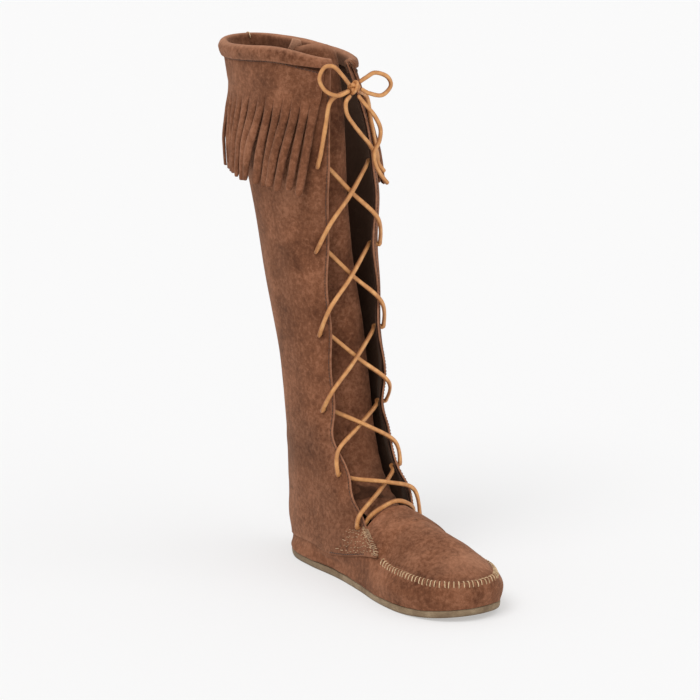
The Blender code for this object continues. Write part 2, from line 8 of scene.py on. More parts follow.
import bmesh
import bpy
import numpy as np
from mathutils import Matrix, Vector


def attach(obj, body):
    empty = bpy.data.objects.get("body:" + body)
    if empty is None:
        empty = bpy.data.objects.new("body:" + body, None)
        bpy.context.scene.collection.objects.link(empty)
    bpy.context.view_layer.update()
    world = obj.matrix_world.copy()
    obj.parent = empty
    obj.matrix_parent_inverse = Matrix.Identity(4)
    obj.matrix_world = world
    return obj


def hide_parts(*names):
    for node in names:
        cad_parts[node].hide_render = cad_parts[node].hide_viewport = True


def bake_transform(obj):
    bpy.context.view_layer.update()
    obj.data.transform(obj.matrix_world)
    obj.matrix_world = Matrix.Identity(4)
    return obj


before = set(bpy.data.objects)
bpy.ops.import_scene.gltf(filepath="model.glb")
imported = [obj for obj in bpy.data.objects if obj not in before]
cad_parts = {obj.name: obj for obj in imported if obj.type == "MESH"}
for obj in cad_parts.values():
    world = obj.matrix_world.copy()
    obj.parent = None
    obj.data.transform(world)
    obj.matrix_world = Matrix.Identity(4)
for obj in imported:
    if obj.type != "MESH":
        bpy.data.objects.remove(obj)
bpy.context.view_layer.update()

MM = 0.001
ROOT = "boot"

# ---- the boot's own sizes, as in the CAD (metres) ----
SOLE_THICK = 0.008
BALL_Y = -0.066
TOE_SPRING = 1.5
TOE_BULGE = 0.0022
SUEDE = 0.0016
GAP = 0.0003
SHELL_GAP = 0.0005
LAYER = SUEDE + SHELL_GAP
FACING_IN = SUEDE + 0.0009
FACING_THICK = 0.0012
FACING_LEVELS = (0.125, 0.955)
HOLE_IN = 0.0088
HOLE_R = 0.0024
HOLE_HEIGHTS = (0.097, 0.207, 0.353, 0.512, 0.672, 0.835)
LACE_WIDE, LACE_THICK = 0.0036, 0.0026
BOW_WIDE, BOW_THICK, BOW_CORD = 0.0033, 0.0027, 0.0031     # the bow's lace, and its round size
LACE_PASS = 0.0021
LACE_ARCH = (0.0056, 0.002, 0, 0, 0)
LEAVE, ARRIVE, LEAVE_MEDIAL = 0.34, 0.96, 0.57
PAST_EDGE = 1.014
COLLAR_DROP = 0.0088
FRINGE_BAND = 0.031
FRINGE_STRIP = 0.074
SLIT_UP = 0.008     # the slits start this far above the line the sections swing on
FRINGE_EDGE = 0.945
BAND_EDGE = 0.965
BACK_SEAM = 0.0031     # half the gap between the leg's two hides, before their edges swell, in side
FRINGE_LEAN = 1.3
LEAN_EASE = 0.4
FRINGE_SECTIONS = 8
STRIPS_EACH = 5
STRIP_WIDE = 2 * FRINGE_EDGE / FRINGE_SECTIONS / STRIPS_EACH     # in side
TIP_LONG = 0.004     # rounded end of a strip
LEG_RISE = 0.43      # height of the leg for the whole of v
CAD_STATIONS = 29    # the toe's bulge is counted in the CAD's steps along the seam
CORNER_THICK = 0.0013
DASH_POINTS = 7
DOME = 0.28          # length of a tube's end, as a share of its thickness
EDGE_BULGE = 0.36    # how far a cut edge swells, as a share of the suede's thickness
INSIDE_SHADE = 0.95  # painted shade weight of the suede's inner face, for the dark inside of the boot
LEG_MIDDLE = np.array([-0.008, 0.09, 0])     # the lace's flat face looks away from here

# the sole's outline in plan, from the heel round by the lateral side (mm)
SOLE = np.array([
    (0, 124), (-20, 117.5), (-33, 97), (-36, 66), (-35, 28), (-38, -9), (-43, -47), (-41, -83),
    (-28, -110.5), (-4, -124), (22, -119), (38, -96.5), (44, -62.5), (40, -24), (33, 19),
    (32, 61), (31, 96.5), (19, 117.5)]) * MM

# v, front y, front z, back y, back z, lateral half width, medial half width, squareness,
# half lacing gap, centre x (mm)
LEG = np.array([
    (0.00, -108, 44, 132, 13.5, 38.5, 38.5, 2.6, 37.2, 0),
    (0.05, -55, 48.2, 133.5, 31, 36, 36, 2.55, 31.5, 0),
    (0.10, -25, 49, 132.5, 48, 34, 34, 2.5, 26.3, 0),
    (0.18, -3, 77, 131, 80, 34, 34, 2.4, 26, -1),
    (0.26, 22, 105, 130, 112, 34.5, 34.5, 2.3, 25.5, -2),
    (0.34, 29.5, 130, 131, 144, 35.5, 35.5, 2.2, 25, -3),
    (0.42, 29.5, 159, 134, 176, 36.5, 36.5, 2.2, 24.7, -4),
    (0.50, 32, 193, 141, 210, 38.5, 38.5, 2.2, 24.2, -6),
    (0.60, 35, 237, 147, 252, 42, 42, 2.2, 23.3, -9),
    (0.70, 32.5, 281, 154, 297, 44.5, 44.5, 2.2, 22.3, -12),
    (0.80, 25, 323, 165, 340, 45.8, 43, 2.2, 22.7, -15),
    (0.90, 24, 367, 172, 383, 47, 37.5, 2.2, 20, -19),
    (1.00, 34.5, 420, 179.5, 430, 45.5, 30, 2.2, 8.5, -25.5)])
RIM_RISE, RIM_RISE_AT, RIM_RISE_WIDE = 8.0, -0.72, 0.22  # the mouth arches up at the lateral front (mm)
HEM_DIP, HEM_DIP_AT, HEM_DIP_WIDE = 6.5, 0.79, 0.1        # the hem dips over the middle of the foot (mm)

# the toe seam, from the shaft's lateral corner to its medial one (mm)
SEAM = np.array([(-34.6, -41, 32.8), (-36.2, -53, 30.8), (-36.5, -70, 30.8), (-35, -91, 31),
                 (-27, -111, 31), (-6, -124, 31.5), (18, -119, 31.5), (33, -97, 31),
                 (37.2, -72, 31), (36.6, -53, 31), (34.6, -41, 32.8)]) * MM
# height of the plug's middle line, from toe (0) to throat (1) (mm)
INSTEP = [(0, 32), (0.05, 35.5), (0.12, 40), (0.29, 47), (0.54, 54.5), (0.75, 60), (1, 65)]

# share of length, y, z, lateral x, middle x, medial x, edges behind the middle, drop (mm)
TONGUE = np.array([
    (0.00, -17, 58.5, -17, 0, 17, 0, 0, 9),
    (0.04, -3, 62, -18, 0, 17, 1, 1, 8),
    (0.08, 12, 66, -20, -1, 17, 3, 2, 5),
    (0.12, 28, 77, -22, -2, 17, 6, 3, 2),
    (0.20, 46, 107, -27, -2, 19, 8, 3, 0),
    (0.28, 53, 137, -29, -3, 19, 10, 3, 0),
    (0.42, 54, 197, -33, -9, 12, 12, 3, 0),
    (0.59, 53, 265, -42, -18, 0, 15, 3, 0),
    (0.69, 47, 308, -49, -27, -8, 17, 3, 0),
    (0.79, 44, 350, -53, -32, -12, 18, 3, 0),
    (0.89, 45, 389, -54, -35, -14, 18, 3, 0),
    (0.985, 54, 431.5, -53, -34, -14, 17, 4, 0)])

# the knot and the free ends of the lace, chosen one by one (mm)
KNOT_AT = np.array([-22, 20, 402]) * MM
LOOP_LEFT = [(-27.5, 18.5, 405.5), (-34, 18.5, 413), (-40, 21, 419.5), (-46.5, 24, 419), (-50, 26, 410),
             (-45, 25, 400.5), (-36, 21, 396.5), (-28.5, 18, 399.5)]
LOOP_RIGHT = [(-16, 20, 406.5), (-11, 19, 409.5), (-4, 17, 413), (6, 15, 409.5), (9.5, 15, 402),
              (2, 16, 395), (-9, 17.5, 397), (-15.5, 18.5, 400.5)]
TAIL_LEFT = [(-26.5, 18.5, 396), (-31, 17.5, 391), (-29, 19, 382), (-22, 20.5, 373), (-14, 21, 364),
             (-6, 21.5, 355.5), (-0.5, 21, 346), (2, 20, 339), (6, 19, 333.5)]
TAIL_RIGHT = [(-19, 18, 395.5), (-13.5, 16.5, 388.5), (-6, 15.5, 380), (0, 15.5, 369), (-0.5, 16, 359),
              (-5, 16.5, 350), (-3.5, 17, 340), (2, 17, 331), (8, 17, 324)]


# ---------------------------------------------------------------- numbers
def eased(keys, x):
    """Smooth curve through keys, rows of (x, value)."""
    keys = np.asarray(keys, float)
    xs, ys = keys[:, 0], keys[:, 1]
    slope = np.gradient(ys, xs)
    x = np.clip(np.asarray(x, float), xs[0], xs[-1])
    i = np.clip(np.searchsorted(xs, x, side="right") - 1, 0, len(xs) - 2)
    width = xs[i + 1] - xs[i]
    t = (x - xs[i]) / width
    return ((2 * t**3 - 3 * t**2 + 1) * ys[i] + (t**3 - 2 * t**2 + t) * width * slope[i]
            + (3 * t**2 - 2 * t**3) * ys[i + 1] + (t**3 - t**2) * width * slope[i + 1])


def spline(points, count, closed=False):
    """Catmull-Rom curve through the points, as count points."""
    p = np.asarray(points, float)
    n = len(p)
    if closed:
        t = np.linspace(0, n, count, endpoint=False)
        i = t.astype(int)
        p0, p1, p2, p3 = p[(i - 1) % n], p[i % n], p[(i + 1) % n], p[(i + 2) % n]
    else:
        t = np.linspace(0, n - 1, count)
        i = np.minimum(t.astype(int), n - 2)
        q = np.vstack([2 * p[0] - p[1], p, 2 * p[-1] - p[-2]])
        p0, p1, p2, p3 = q[i], q[i + 1], q[i + 2], q[i + 3]
    f = (t - i)[:, None]
    return 0.5 * (2 * p1 + (p2 - p0) * f + (2 * p0 - 5 * p1 + 4 * p2 - p3) * f**2
                  + (3 * p1 - p0 - 3 * p2 + p3) * f**3)


def unit(v):
    v = np.asarray(v, float)
    return v / np.maximum(np.linalg.norm(v, axis=-1, keepdims=True), 1e-12)


def step(lo, hi, x):
    """0 below lo, 1 above hi, smooth between."""
    t = np.clip((np.asarray(x, float) - lo) / (hi - lo), 0, 1)
    return t * t * (3 - 2 * t)


def near(x, centre, width):
    """A soft bump of height 1 round the centre."""
    return np.exp(-(((np.asarray(x, float) - centre) / width) ** 2))


LATTICE = 64
FIELD = np.random.RandomState(7).rand(LATTICE, LATTICE, LATTICE) * 2 - 1


def noise(points, size, shift=0.0):
    """Smooth noise from -1 to 1; size is its grain in metres, one number or one for each axis."""
    q = np.asarray(points, float) / np.asarray(size, float) + shift * 7.31 + 1000
    i = np.floor(q).astype(int)
    f = q - i
    f = f * f * (3 - 2 * f)
    total = 0
    for dx in (0, 1):
        for dy in (0, 1):
            for dz in (0, 1):
                weight = ((f[..., 0] if dx else 1 - f[..., 0]) * (f[..., 1] if dy else 1 - f[..., 1])
                          * (f[..., 2] if dz else 1 - f[..., 2]))
                total = total + weight * FIELD[(i[..., 0] + dx) % LATTICE, (i[..., 1] + dy) % LATTICE,
                                               (i[..., 2] + dz) % LATTICE]
    return total


def patches(points, size, shift, more=0.0):
    """Smooth spots from 0 to 1, over about half of the points and wider with more."""
    return np.clip(noise(points, size, shift) + more, 0, 1)


def sheet_normal(grid):
    return unit(np.cross(np.gradient(grid, axis=1), np.gradient(grid, axis=0)))


def aimed(normal, toward):
    """The normals, flipped where they look away from the given directions."""
    return normal * np.where(np.sum(normal * toward, -1, keepdims=True) > 0, 1.0, -1.0)


def length_along(p):
    return np.concatenate([[0], np.cumsum(np.linalg.norm(np.diff(p, axis=0), axis=1))])


def resample(p, spacing=None, count=None):
    """The same line with evenly spaced points."""
    run = length_along(p)
    count = count or max(2, int(round(run[-1] / spacing)) + 1)
    at = np.linspace(0, run[-1], count)
    return np.column_stack([np.interp(at, run, p[:, k]) for k in range(3)])


# ---------------------------------------------------------------- the boot's shapes
def toe_lift(y):
    return TOE_SPRING * np.minimum(0, np.asarray(y) - BALL_Y) ** 2


def outline(inset, count=56):
    """The sole's outline moved in by inset, as plan points."""
    p = spline(SOLE, count * 4, closed=True)
    along = unit(np.roll(p, -1, 0) - np.roll(p, 1, 0))
    return (p + inset * np.column_stack([along[:, 1], -along[:, 0]]) * -1)[::4]


def leg(v, side, off=0.0):
    """Point of the leg's smooth outer surface. side runs from the lateral lacing edge (-1) round
    the back (0) to the medial one (1), and off moves the point outward."""
    v, side = np.broadcast_arrays(np.asarray(v, float), np.asarray(side, float))
    if np.any(off):
        return leg(v, side) + leg_normal(v, side) * np.asarray(off)[..., None]
    y_front, z_front, y_back, z_back, a_lateral, a_medial, n, gap, xc = (
        eased(LEG[:, [0, k]], v) for k in range(1, 10))
    a = np.where(side > 0, a_medial, a_lateral)
    phi0 = np.arcsin(np.clip(gap / a, 0, 1) ** (n / 2))
    phi = np.pi - (np.pi - phi0) * np.abs(side)
    s, c = np.abs(np.sin(phi)), np.cos(phi)
    x = xc + np.sign(side) * a * s ** (2 / n)
    k = -np.sign(c) * np.abs(c) ** (2 / n)
    y = (y_front + y_back) / 2 + k * (y_back - y_front) / 2
    z = (z_front + z_back) / 2 + k * (z_back - z_front) / 2
    rim = np.clip((v - 0.8) / 0.2, 0, 1) ** 2 * near(side, RIM_RISE_AT, RIM_RISE_WIDE)
    hem = np.clip(1 - v / 0.08, 0, 1) ** 2 * near(np.abs(side), HEM_DIP_AT, HEM_DIP_WIDE)
    return np.stack([x, y, z + RIM_RISE * rim - HEM_DIP * hem], -1) * MM


def leg_normal(v, side):
    d = 1e-3
    along = leg(v, side + d) - leg(v, side - d)
    up = leg(np.minimum(v + d, 1), side) - leg(np.maximum(v - d, 0), side)
    return unit(np.cross(up, along))


def side_at(v, side, distance):
    """The side value that lies distance inside the lacing edge (side is -1 or 1)."""
    s = np.linspace(1, 0.4, 200)
    return side * np.interp(distance, length_along(leg(v, side * s)), s)


def level_below_top(side, drop):
    """The v that lies drop below the mouth, along the surface."""
    v = np.linspace(1, 0.6, 200)
    return np.interp(drop, length_along(leg(v, side)), v)


def hole_phase(v):
    """Counts the lacing holes passed on the way up: a whole number at each hole."""
    return np.interp(v, HOLE_HEIGHTS, np.arange(len(HOLE_HEIGHTS)))


def half_girth(v):
    """Length of one half of the leg at that level, from the back to the lacing edge."""
    return np.interp(v, (0, 0.1, 0.2, 0.5, 1), (0.225, 0.175, 0.15, 0.155, 0.185))


def skin(v, side, off=0.0):
    """Point of the leg's suede with its dents, creases and scalloped lacing edges."""
    v, side = np.broadcast_arrays(np.asarray(v, float), np.asarray(side, float))
    p, n = leg(v, side), leg_normal(v, side)
    from_edge = (1 - np.abs(side)) * half_girth(v)
    lacing = step(0.10, 0.16, v) * (1 - step(0.86, 0.93, v))
    phase = 2 * np.pi * hole_phase(v)
    loose = np.interp(v, (0.1, 0.35, 0.5, 0.7, 0.9), (1.0, 1.0, 0.75, 0.45, 0.4))
    scallop = lacing * loose * (0.0011 * np.cos(phase - 2 * np.pi * 0.12) - 0.0003)
    scallop = scallop * (1 + 0.9 * near(v, 0.22, 0.09)) * near(from_edge, 0, 0.013)
    toward_edge = np.sign(side)[..., None] * unit(leg(v, side + 1e-3) - leg(v, side - 1e-3))
    flare = lacing * loose * (0.0003 - 0.0011 * np.cos(phase)) * near(from_edge, 0, 0.009)
    free = step(0.02, 0.09, v) * (1 - 0.85 * step(0.9, 0.99, v))
    hold = 1 - 0.6 * near(from_edge, 0, 0.02)
    dents = 0.0011 * noise(p, (0.05, 0.05, 0.11), 1) + 0.0005 * noise(p, (0.02, 0.02, 0.05), 2)
    creases = 0.00055 * near(v, 0.2, 0.1) * noise(p, (0.045, 0.045, 0.011), 3)
    pulls = 0.0007 * lacing * near(from_edge, 0.02, 0.022) * np.cos(phase)
    depth = free * hold * (dents + creases) + flare - pulls
    return p + n * (depth + np.asarray(off))[..., None] + toward_edge * scallop[..., None]


# ---------------------------------------------------------------- meshes
def build(name, verts, faces, finish, wear_and_highlight=None, shade=None, body=ROOT, slot=None, stands_for=()):
    """A smooth-shaded mesh piece. Lighter weight (rubbed nap, painted highlight) and darker weight (painted
    shade, patches) run 0 to 1.
    """
    mesh = bpy.data.meshes.new(name)
    mesh.from_pydata(np.asarray(verts, float).tolist(), [], faces)
    for key, values in (("wear_and_highlight", wear_and_highlight), ("shade", shade)):
        layer = mesh.attributes.new(key, "FLOAT", "POINT")
        values = np.zeros(len(verts)) if values is None else np.clip(values, 0, 1)
        layer.data.foreach_set("value", np.asarray(values, np.float32))
    mesh.materials.append(finish)
    fixed = bmesh.new()
    fixed.from_mesh(mesh)
    bmesh.ops.recalc_face_normals(fixed, faces=fixed.faces)
    fixed.to_mesh(mesh)
    fixed.free()
    mesh.shade_smooth()
    piece = bpy.data.objects.new(name, mesh)
    bpy.context.scene.collection.objects.link(piece)
    if stands_for:
        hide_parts(*stands_for)
    if body:
        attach(piece, body)
    return piece


def grid_faces(rows, cols, closed_cols=False, keep=None):
    r, c = np.meshgrid(np.arange(rows - 1), np.arange(cols if closed_cols else cols - 1), indexing="ij")
    if keep is not None:
        r, c = r[keep], c[keep]
    r, c = r.ravel(), c.ravel()
    d = (c + 1) % cols
    return np.column_stack([r * cols + c, r * cols + d, (r + 1) * cols + d, (r + 1) * cols + c]).tolist()


def edge_loops(faces):
    """Directed edges that only one face uses."""
    f = np.asarray(faces)
    a, b = f.ravel(), np.roll(f, -1, 1).ravel()
    pairs = set(zip(a.tolist(), b.tolist()))
    return [e for e in pairs if (e[1], e[0]) not in pairs]


def thick(outer, inner, keep=None, wear_and_highlight=0.0, shade=0.0, open_rows=(), raw=0.6):
    """Vertices, faces and colour weights of a piece of suede between two matching grids, its cut
    edges rounded. A row in open_rows gets no edge, where another piece carries on from it, and raw
    says how light the cut edges are; with raw under 0.45 the cut edges also take painted shade."""
    rows, cols = outer.shape[:2]
    front = grid_faces(rows, cols, keep=keep)
    top, low = outer.reshape(-1, 3), inner.reshape(-1, 3)
    rim = sorted(e for e in edge_loops(front)
                 if not (e[0] // cols == e[1] // cols and e[0] // cols in open_rows))
    used = np.unique(rim)
    at = {int(i): k for k, i in enumerate(used)}
    normal = unit(top - low)
    push = np.zeros((len(used), 3))
    for a, b in rim:
        out = np.cross(top[b] - top[a], normal[a] + normal[b])
        push[at[a]] += out
        push[at[b]] += out
    push = unit(push)
    middle = top[np.asarray(front)].mean(1)
    for face, centre in zip(front, middle):
        for i in face:
            if i in at and np.dot(push[at[i]], centre - top[i]) > 0:
                push[at[i]] *= -1
    bulge = push * np.linalg.norm(top[used] - low[used], axis=1)[:, None] * EDGE_BULGE
    one = 0.72 * top[used] + 0.28 * low[used] + bulge
    two = 0.28 * top[used] + 0.72 * low[used] + bulge
    total, n = rows * cols, len(used)
    faces = list(front) + [[i + total for i in reversed(f)] for f in front]
    for a, b in rim:
        p, q = 2 * total + at[a], 2 * total + at[b]
        faces += [[b, a, p, q], [q, p, p + n, q + n], [q + n, p + n, a + total, b + total]]
    flat, dark = ((np.asarray(weight, float) + np.zeros((rows, cols))).ravel() for weight in (wear_and_highlight, shade))
    worn_and_lit = np.concatenate([flat, 0.3 * flat, raw + 0.4 * noise(np.vstack([one, two]), 0.004, 9)])
    # painted shade: the inner face takes INSIDE_SHADE, and cut edges with raw under 0.45 are darkened
    soil_and_shade = np.concatenate([dark, np.maximum(dark, INSIDE_SHADE), np.full(2 * n, max(0, 0.45 - raw))])
    verts = np.vstack([top, low, one, two])
    kept = np.zeros(len(verts), bool)
    kept[np.concatenate([np.asarray(f).ravel() for f in faces])] = True
    order = np.cumsum(kept) - 1
    return verts[kept], order[np.asarray(faces)].tolist(), worn_and_lit[kept], soil_and_shade[kept]


def hide(name, outer, inner, finish, keep=None, wear_and_highlight=0.0, shade=0.0, open_rows=(), **where):
    """Builds a piece of suede between two matching grids."""
    verts, faces, worn_and_lit, soil_and_shade = thick(outer, inner, keep, wear_and_highlight, shade, open_rows)
    return build(name, verts, faces, finish, worn_and_lit, soil_and_shade, **where)


def frames(path, lean=None):
    """Side and normal directions along a line; lean gives the way its flat face looks."""
    tangent = unit(np.gradient(path, axis=0))
    normal = np.zeros_like(tangent)
    start = np.cross(tangent[0], (0.3, 0.1, 0.9))
    normal[0] = unit(start)
    for k in range(1, len(path)):
        n = normal[k - 1] - tangent[k] * np.dot(normal[k - 1], tangent[k])
        normal[k] = unit(n)
    side = np.cross(tangent, normal)
    if lean is not None:
        across = lean - tangent * np.sum(lean * tangent, 1, keepdims=True)
        x, y = np.sum(across * normal, 1), np.sum(across * side, 1)
        angle = np.unwrap(np.arctan2(y, x))
        soft = max(3, len(path) // 60)
        kernel = np.hanning(2 * soft + 1)
        kernel /= kernel.sum()
        angle = np.convolve(np.pad(angle, soft, mode="edge"), kernel, mode="valid")
        turned = normal * np.cos(angle)[:, None] + side * np.sin(angle)[:, None]
        side = np.cross(tangent, turned)
        normal = turned
    return side, normal


def capped(rings, ends):
    """Vertices and faces of a stack of closed rings, each end drawn together in one point."""
    rings = np.asarray(rings)
    count, sides = rings.shape[:2]
    last, tip = (count - 1) * sides, count * sides
    faces = grid_faces(count, sides, closed_cols=True)
    for k in range(sides):
        d = (k + 1) % sides
        faces += [[d, k, tip], [last + k, last + d, tip + 1]]
    return np.vstack([rings.reshape(-1, 3), ends]), faces


def tube(path, wide, thick_by, sides=6, square=2.0, lean=None, swell=None):
    """Vertices and faces of a closed tube with rounded-square section and domed ends."""
    side, normal = frames(path, lean)
    turn = np.linspace(0, 2 * np.pi, sides, endpoint=False)
    c, s = np.cos(turn), np.sin(turn)
    ring = (np.sign(c) * np.abs(c) ** (2 / square), np.sign(s) * np.abs(s) ** (2 / square))
    scale = np.ones(len(path)) if swell is None else swell
    rings = [p + (np.outer(ring[0] * wide / 2, a) + np.outer(ring[1] * thick_by / 2, b)) * k
             for p, a, b, k in zip(path, side, normal, scale)]
    before, after = (out * thick_by * DOME for out in (unit(path[0] - path[1]), unit(path[-1] - path[-2])))
    head = path[0] + before + (rings[0] - path[0]) * 0.45
    tail = path[-1] + after + (rings[-1] - path[-1]) * 0.45
    return capped([head] + rings + [tail], [path[0] + before * 1.25, path[-1] + after * 1.25])


def gather(parts):
    """Joins several tubes, each (verts, faces counted from 0)."""
    verts, faces, base = [], [], 0
    for v, f in parts:
        verts.append(v)
        faces += [[i + base for i in face] for face in f]
        base += len(v)
    return np.vstack(verts), faces


def sew(name, parts, finish, **where):
    """Builds one piece of thread from the tubes of its stitches."""
    return build(name, *gather(parts), finish, slot="thread", **where)


def stitch_row(path, normal, pitch, length, radius, seed, sink=0.5):
    """Dashes of thread along a line on a surface, each dipping into it at both ends."""
    rng = np.random.RandomState(seed)
    run = length_along(path)
    count = max(1, int(run[-1] / pitch))
    arch = 1 - np.linspace(-1, 1, DASH_POINTS) ** 4
    parts = []
    for k in range(count):
        mid = (k + 0.5) * run[-1] / count + rng.uniform(-0.06, 0.06) * pitch
        at = mid + np.linspace(-0.5, 0.5, DASH_POINTS) * length * rng.uniform(0.92, 1.05)
        p, n = (np.column_stack([np.interp(at, run, line[:, i]) for i in range(3)])
                for line in (path, normal))
        parts.append(tube(p + unit(n) * ((arch - sink) * radius * 1.6)[:, None], 2 * radius, 2 * radius))
    return parts


# ---------------------------------------------------------------- materials
class Nodes:
    """Short names for building a shader's nodes."""

    def __init__(self, name, **settings):
        self.made = bpy.data.materials.new(name)
        self.made.use_nodes = True
        self.tree = self.made.node_tree
        self.shader = self.tree.nodes["Principled BSDF"]
        self.coords = self.tree.nodes.new("ShaderNodeTexCoord").outputs["Object"]
        for key, value in settings.items():
            self.shader.inputs[key.replace("_", " ")].default_value = value

    def feed(self, socket, value):
        """Gives an input a number, a vector, a colour or the output of another node."""
        if isinstance(value, (int, float)):
            socket.default_value = value
        elif isinstance(value, tuple):
            socket.default_value = (*value, 1) if socket.type == "RGBA" else value
        else:
            self.tree.links.new(value, socket)

    def node(self, kind, output, **inputs):
        node = self.tree.nodes.new(kind)
        for key, value in inputs.items():
            self.feed(node.inputs[key], value)
        return node.outputs[output]

    def stretch(self, scale):
        return self.node("ShaderNodeMapping", "Vector", Scale=scale, Vector=self.coords)

    def noise(self, scale, detail=2.0, rough=0.5, warp=0.0, vector=None):
        return self.node("ShaderNodeTexNoise", "Fac", Scale=scale, Detail=detail, Roughness=rough,
                         Distortion=warp, Vector=vector or self.coords)

    def cells(self, scale):
        return self.node("ShaderNodeTexVoronoi", "Distance", Scale=scale, Vector=self.coords)

    def attribute(self, name):
        node = self.tree.nodes.new("ShaderNodeAttribute")
        node.attribute_name = name
        return node.outputs["Fac"]

    def math(self, how, a, b, clamp=False):
        node = self.tree.nodes.new("ShaderNodeMath")
        node.operation = how
        node.use_clamp = clamp
        self.feed(node.inputs[0], a)
        self.feed(node.inputs[1], b)
        return node.outputs["Value"]

    def total(self, *terms):
        """Sum of signals, each (signal, weight)."""
        scaled = [self.math("MULTIPLY", signal, weight) for signal, weight in terms]
        value = scaled[0]
        for term in scaled[1:]:
            value = self.math("ADD", value, term)
        return value

    def ramp(self, value, *stops):
        node = self.tree.nodes.new("ShaderNodeValToRGB")
        while len(node.color_ramp.elements) < len(stops):
            node.color_ramp.elements.new(0.5)
        for element, (position, colour) in zip(node.color_ramp.elements, stops):
            element.position = position
            element.color = (*colour, 1)
        self.feed(node.inputs["Fac"], value)
        return node.outputs["Color"]

    def mix(self, share, a, b, how="MIX"):
        node = self.tree.nodes.new("ShaderNodeMix")
        node.data_type = "RGBA"
        node.blend_type = how
        for index, value in ((0, share), (6, a), (7, b)):
            self.feed(node.inputs[index], value)
        return node.outputs[2]

    def flecked(self, colour, grain, *stops):
        """The colour with fine lighter and darker flecks."""
        return self.mix(0.8, colour, self.ramp(grain, *stops), "MULTIPLY")

    def tinted(self, colour, weight, amount, toward):
        """The colour moved toward another where a vertex weight says so."""
        return self.mix(self.math("MULTIPLY", self.attribute(weight), amount, True), colour, toward)

    def finish(self, colour, *bumps):
        """The material of that colour, under bumps of (height, strength, distance)."""
        self.feed(self.shader.inputs["Base Color"], colour)
        below = {}
        for height, strength, distance in bumps:
            below["Normal"] = self.node("ShaderNodeBump", "Normal", Height=height, Strength=strength,
                                        Distance=distance, **below)
        self.feed(self.shader.inputs["Normal"], below["Normal"])
        return self.made


def suede(name, dark, base, light, worn_and_lit):
    """Brushed split leather: mottled nap, lighter at rubbed and cut edges and painted highlights, darker
    under painted shade and patches.
    """
    n = Nodes(name, Roughness=0.92, Specular_IOR_Level=0.14, Sheen_Weight=0.16, Sheen_Roughness=0.5,
              Sheen_Tint=(1.0, 0.66, 0.46, 1))
    clouds = n.noise(34, 3, 0.6, 0.4)
    strokes = n.noise(95, 3, 0.6, 0.6, n.stretch((1.0, 1.0, 0.45)))
    blotches = n.noise(300, 3, 0.65, 0.3)
    nap = n.noise(1000, 4, 0.75)
    fibres = n.noise(3400, 3, 0.7, 0.5)
    mottle = n.total((clouds, 0.5), (strokes, 0.16), (blotches, 0.34))
    colour = n.ramp(mottle, (0.36, dark), (0.5, base), (0.64, light))
    colour = n.flecked(colour, n.total((nap, 0.6), (fibres, 0.4)), (0.32, (0.60, 0.59, 0.58)),
                       (0.5, (1, 1, 1)), (0.68, (1.40, 1.38, 1.34)))
    # lighter toward the rubbed colour where the lighter weight says: rubbed nap and painted highlight
    ragged = n.math("ADD", n.attribute("wear_and_highlight"), n.math("MULTIPLY", n.math("SUBTRACT", blotches, 0.5), 0.9))
    colour = n.mix(n.math("MULTIPLY", ragged, 0.75, True), colour, worn_and_lit)
    shade = n.attribute("shade")
    # painted shade: the inner faces darken further, and the shade weight mixes toward a dark brown
    inside = n.math("GREATER_THAN", shade, INSIDE_SHADE - 0.05)
    colour = n.mix(n.total((shade, 0.6), (inside, 0.3)), colour, tuple(0.34 * c for c in dark))
    return n.finish(colour, (blotches, 0.35, 0.0006), (nap, 0.6, 0.0004), (fibres, 0.45, 0.0002))


def lace_leather():
    """Rawhide lace: oiled golden leather, streaky along its length, with painted shade on its cut sides and
    a painted highlight on its flat faces.
    """
    n = Nodes("lace_leather", Roughness=0.5, Specular_IOR_Level=0.42, Sheen_Weight=0.08, Coat_Weight=0.06,
              Coat_Roughness=0.4)
    grain = n.noise(1700, 3, 0.65)
    colour = n.ramp(n.noise(140, 3, 0.6, 0.5), (0.3, (0.42, 0.148, 0.036)), (0.5, (0.60, 0.236, 0.064)),
                    (0.68, (0.76, 0.37, 0.13)))
    colour = n.flecked(colour, grain, (0.32, (0.72, 0.68, 0.62)), (0.5, (1, 1, 1)),
                       (0.7, (1.14, 1.15, 1.16)))
    # painted shade on the cut sides, then a painted highlight on the flat faces
    colour = n.tinted(colour, "shade", 0.95, (0.25, 0.09, 0.024))
    colour = n.tinted(colour, "wear_and_highlight", 0.42, (0.90, 0.58, 0.26))
    return n.finish(colour, (grain, 0.4, 0.0003), (n.cells(1500), 0.25, 0.0002))


def crepe():
    """Thin crepe rubber: tan, cloudy and crinkled, darker low down and toward the heel, with painted shade
    under the wall.
    """
    n = Nodes("crepe_rubber", Roughness=0.72, Specular_IOR_Level=0.3)
    crinkle = n.noise(420, 4, 0.7, 1.2, n.stretch((1, 1, 2.2)))
    colour = n.ramp(n.noise(60, 4, 0.6, 0.8), (0.32, (0.19, 0.124, 0.072)), (0.5, (0.27, 0.188, 0.112)),
                    (0.68, (0.35, 0.255, 0.16)))
    colour = n.flecked(colour, crinkle, (0.35, (0.72, 0.7, 0.66)), (0.55, (1, 1, 1)),
                       (0.72, (1.12, 1.12, 1.1)))
    # darker by the shade weight: low down, toward the heel, and painted shade under the wall
    colour = n.tinted(colour, "shade", 0.7, (0.10, 0.068, 0.04))
    return n.finish(colour, (crinkle, 0.5, 0.0006), (n.cells(900), 0.3, 0.0003))


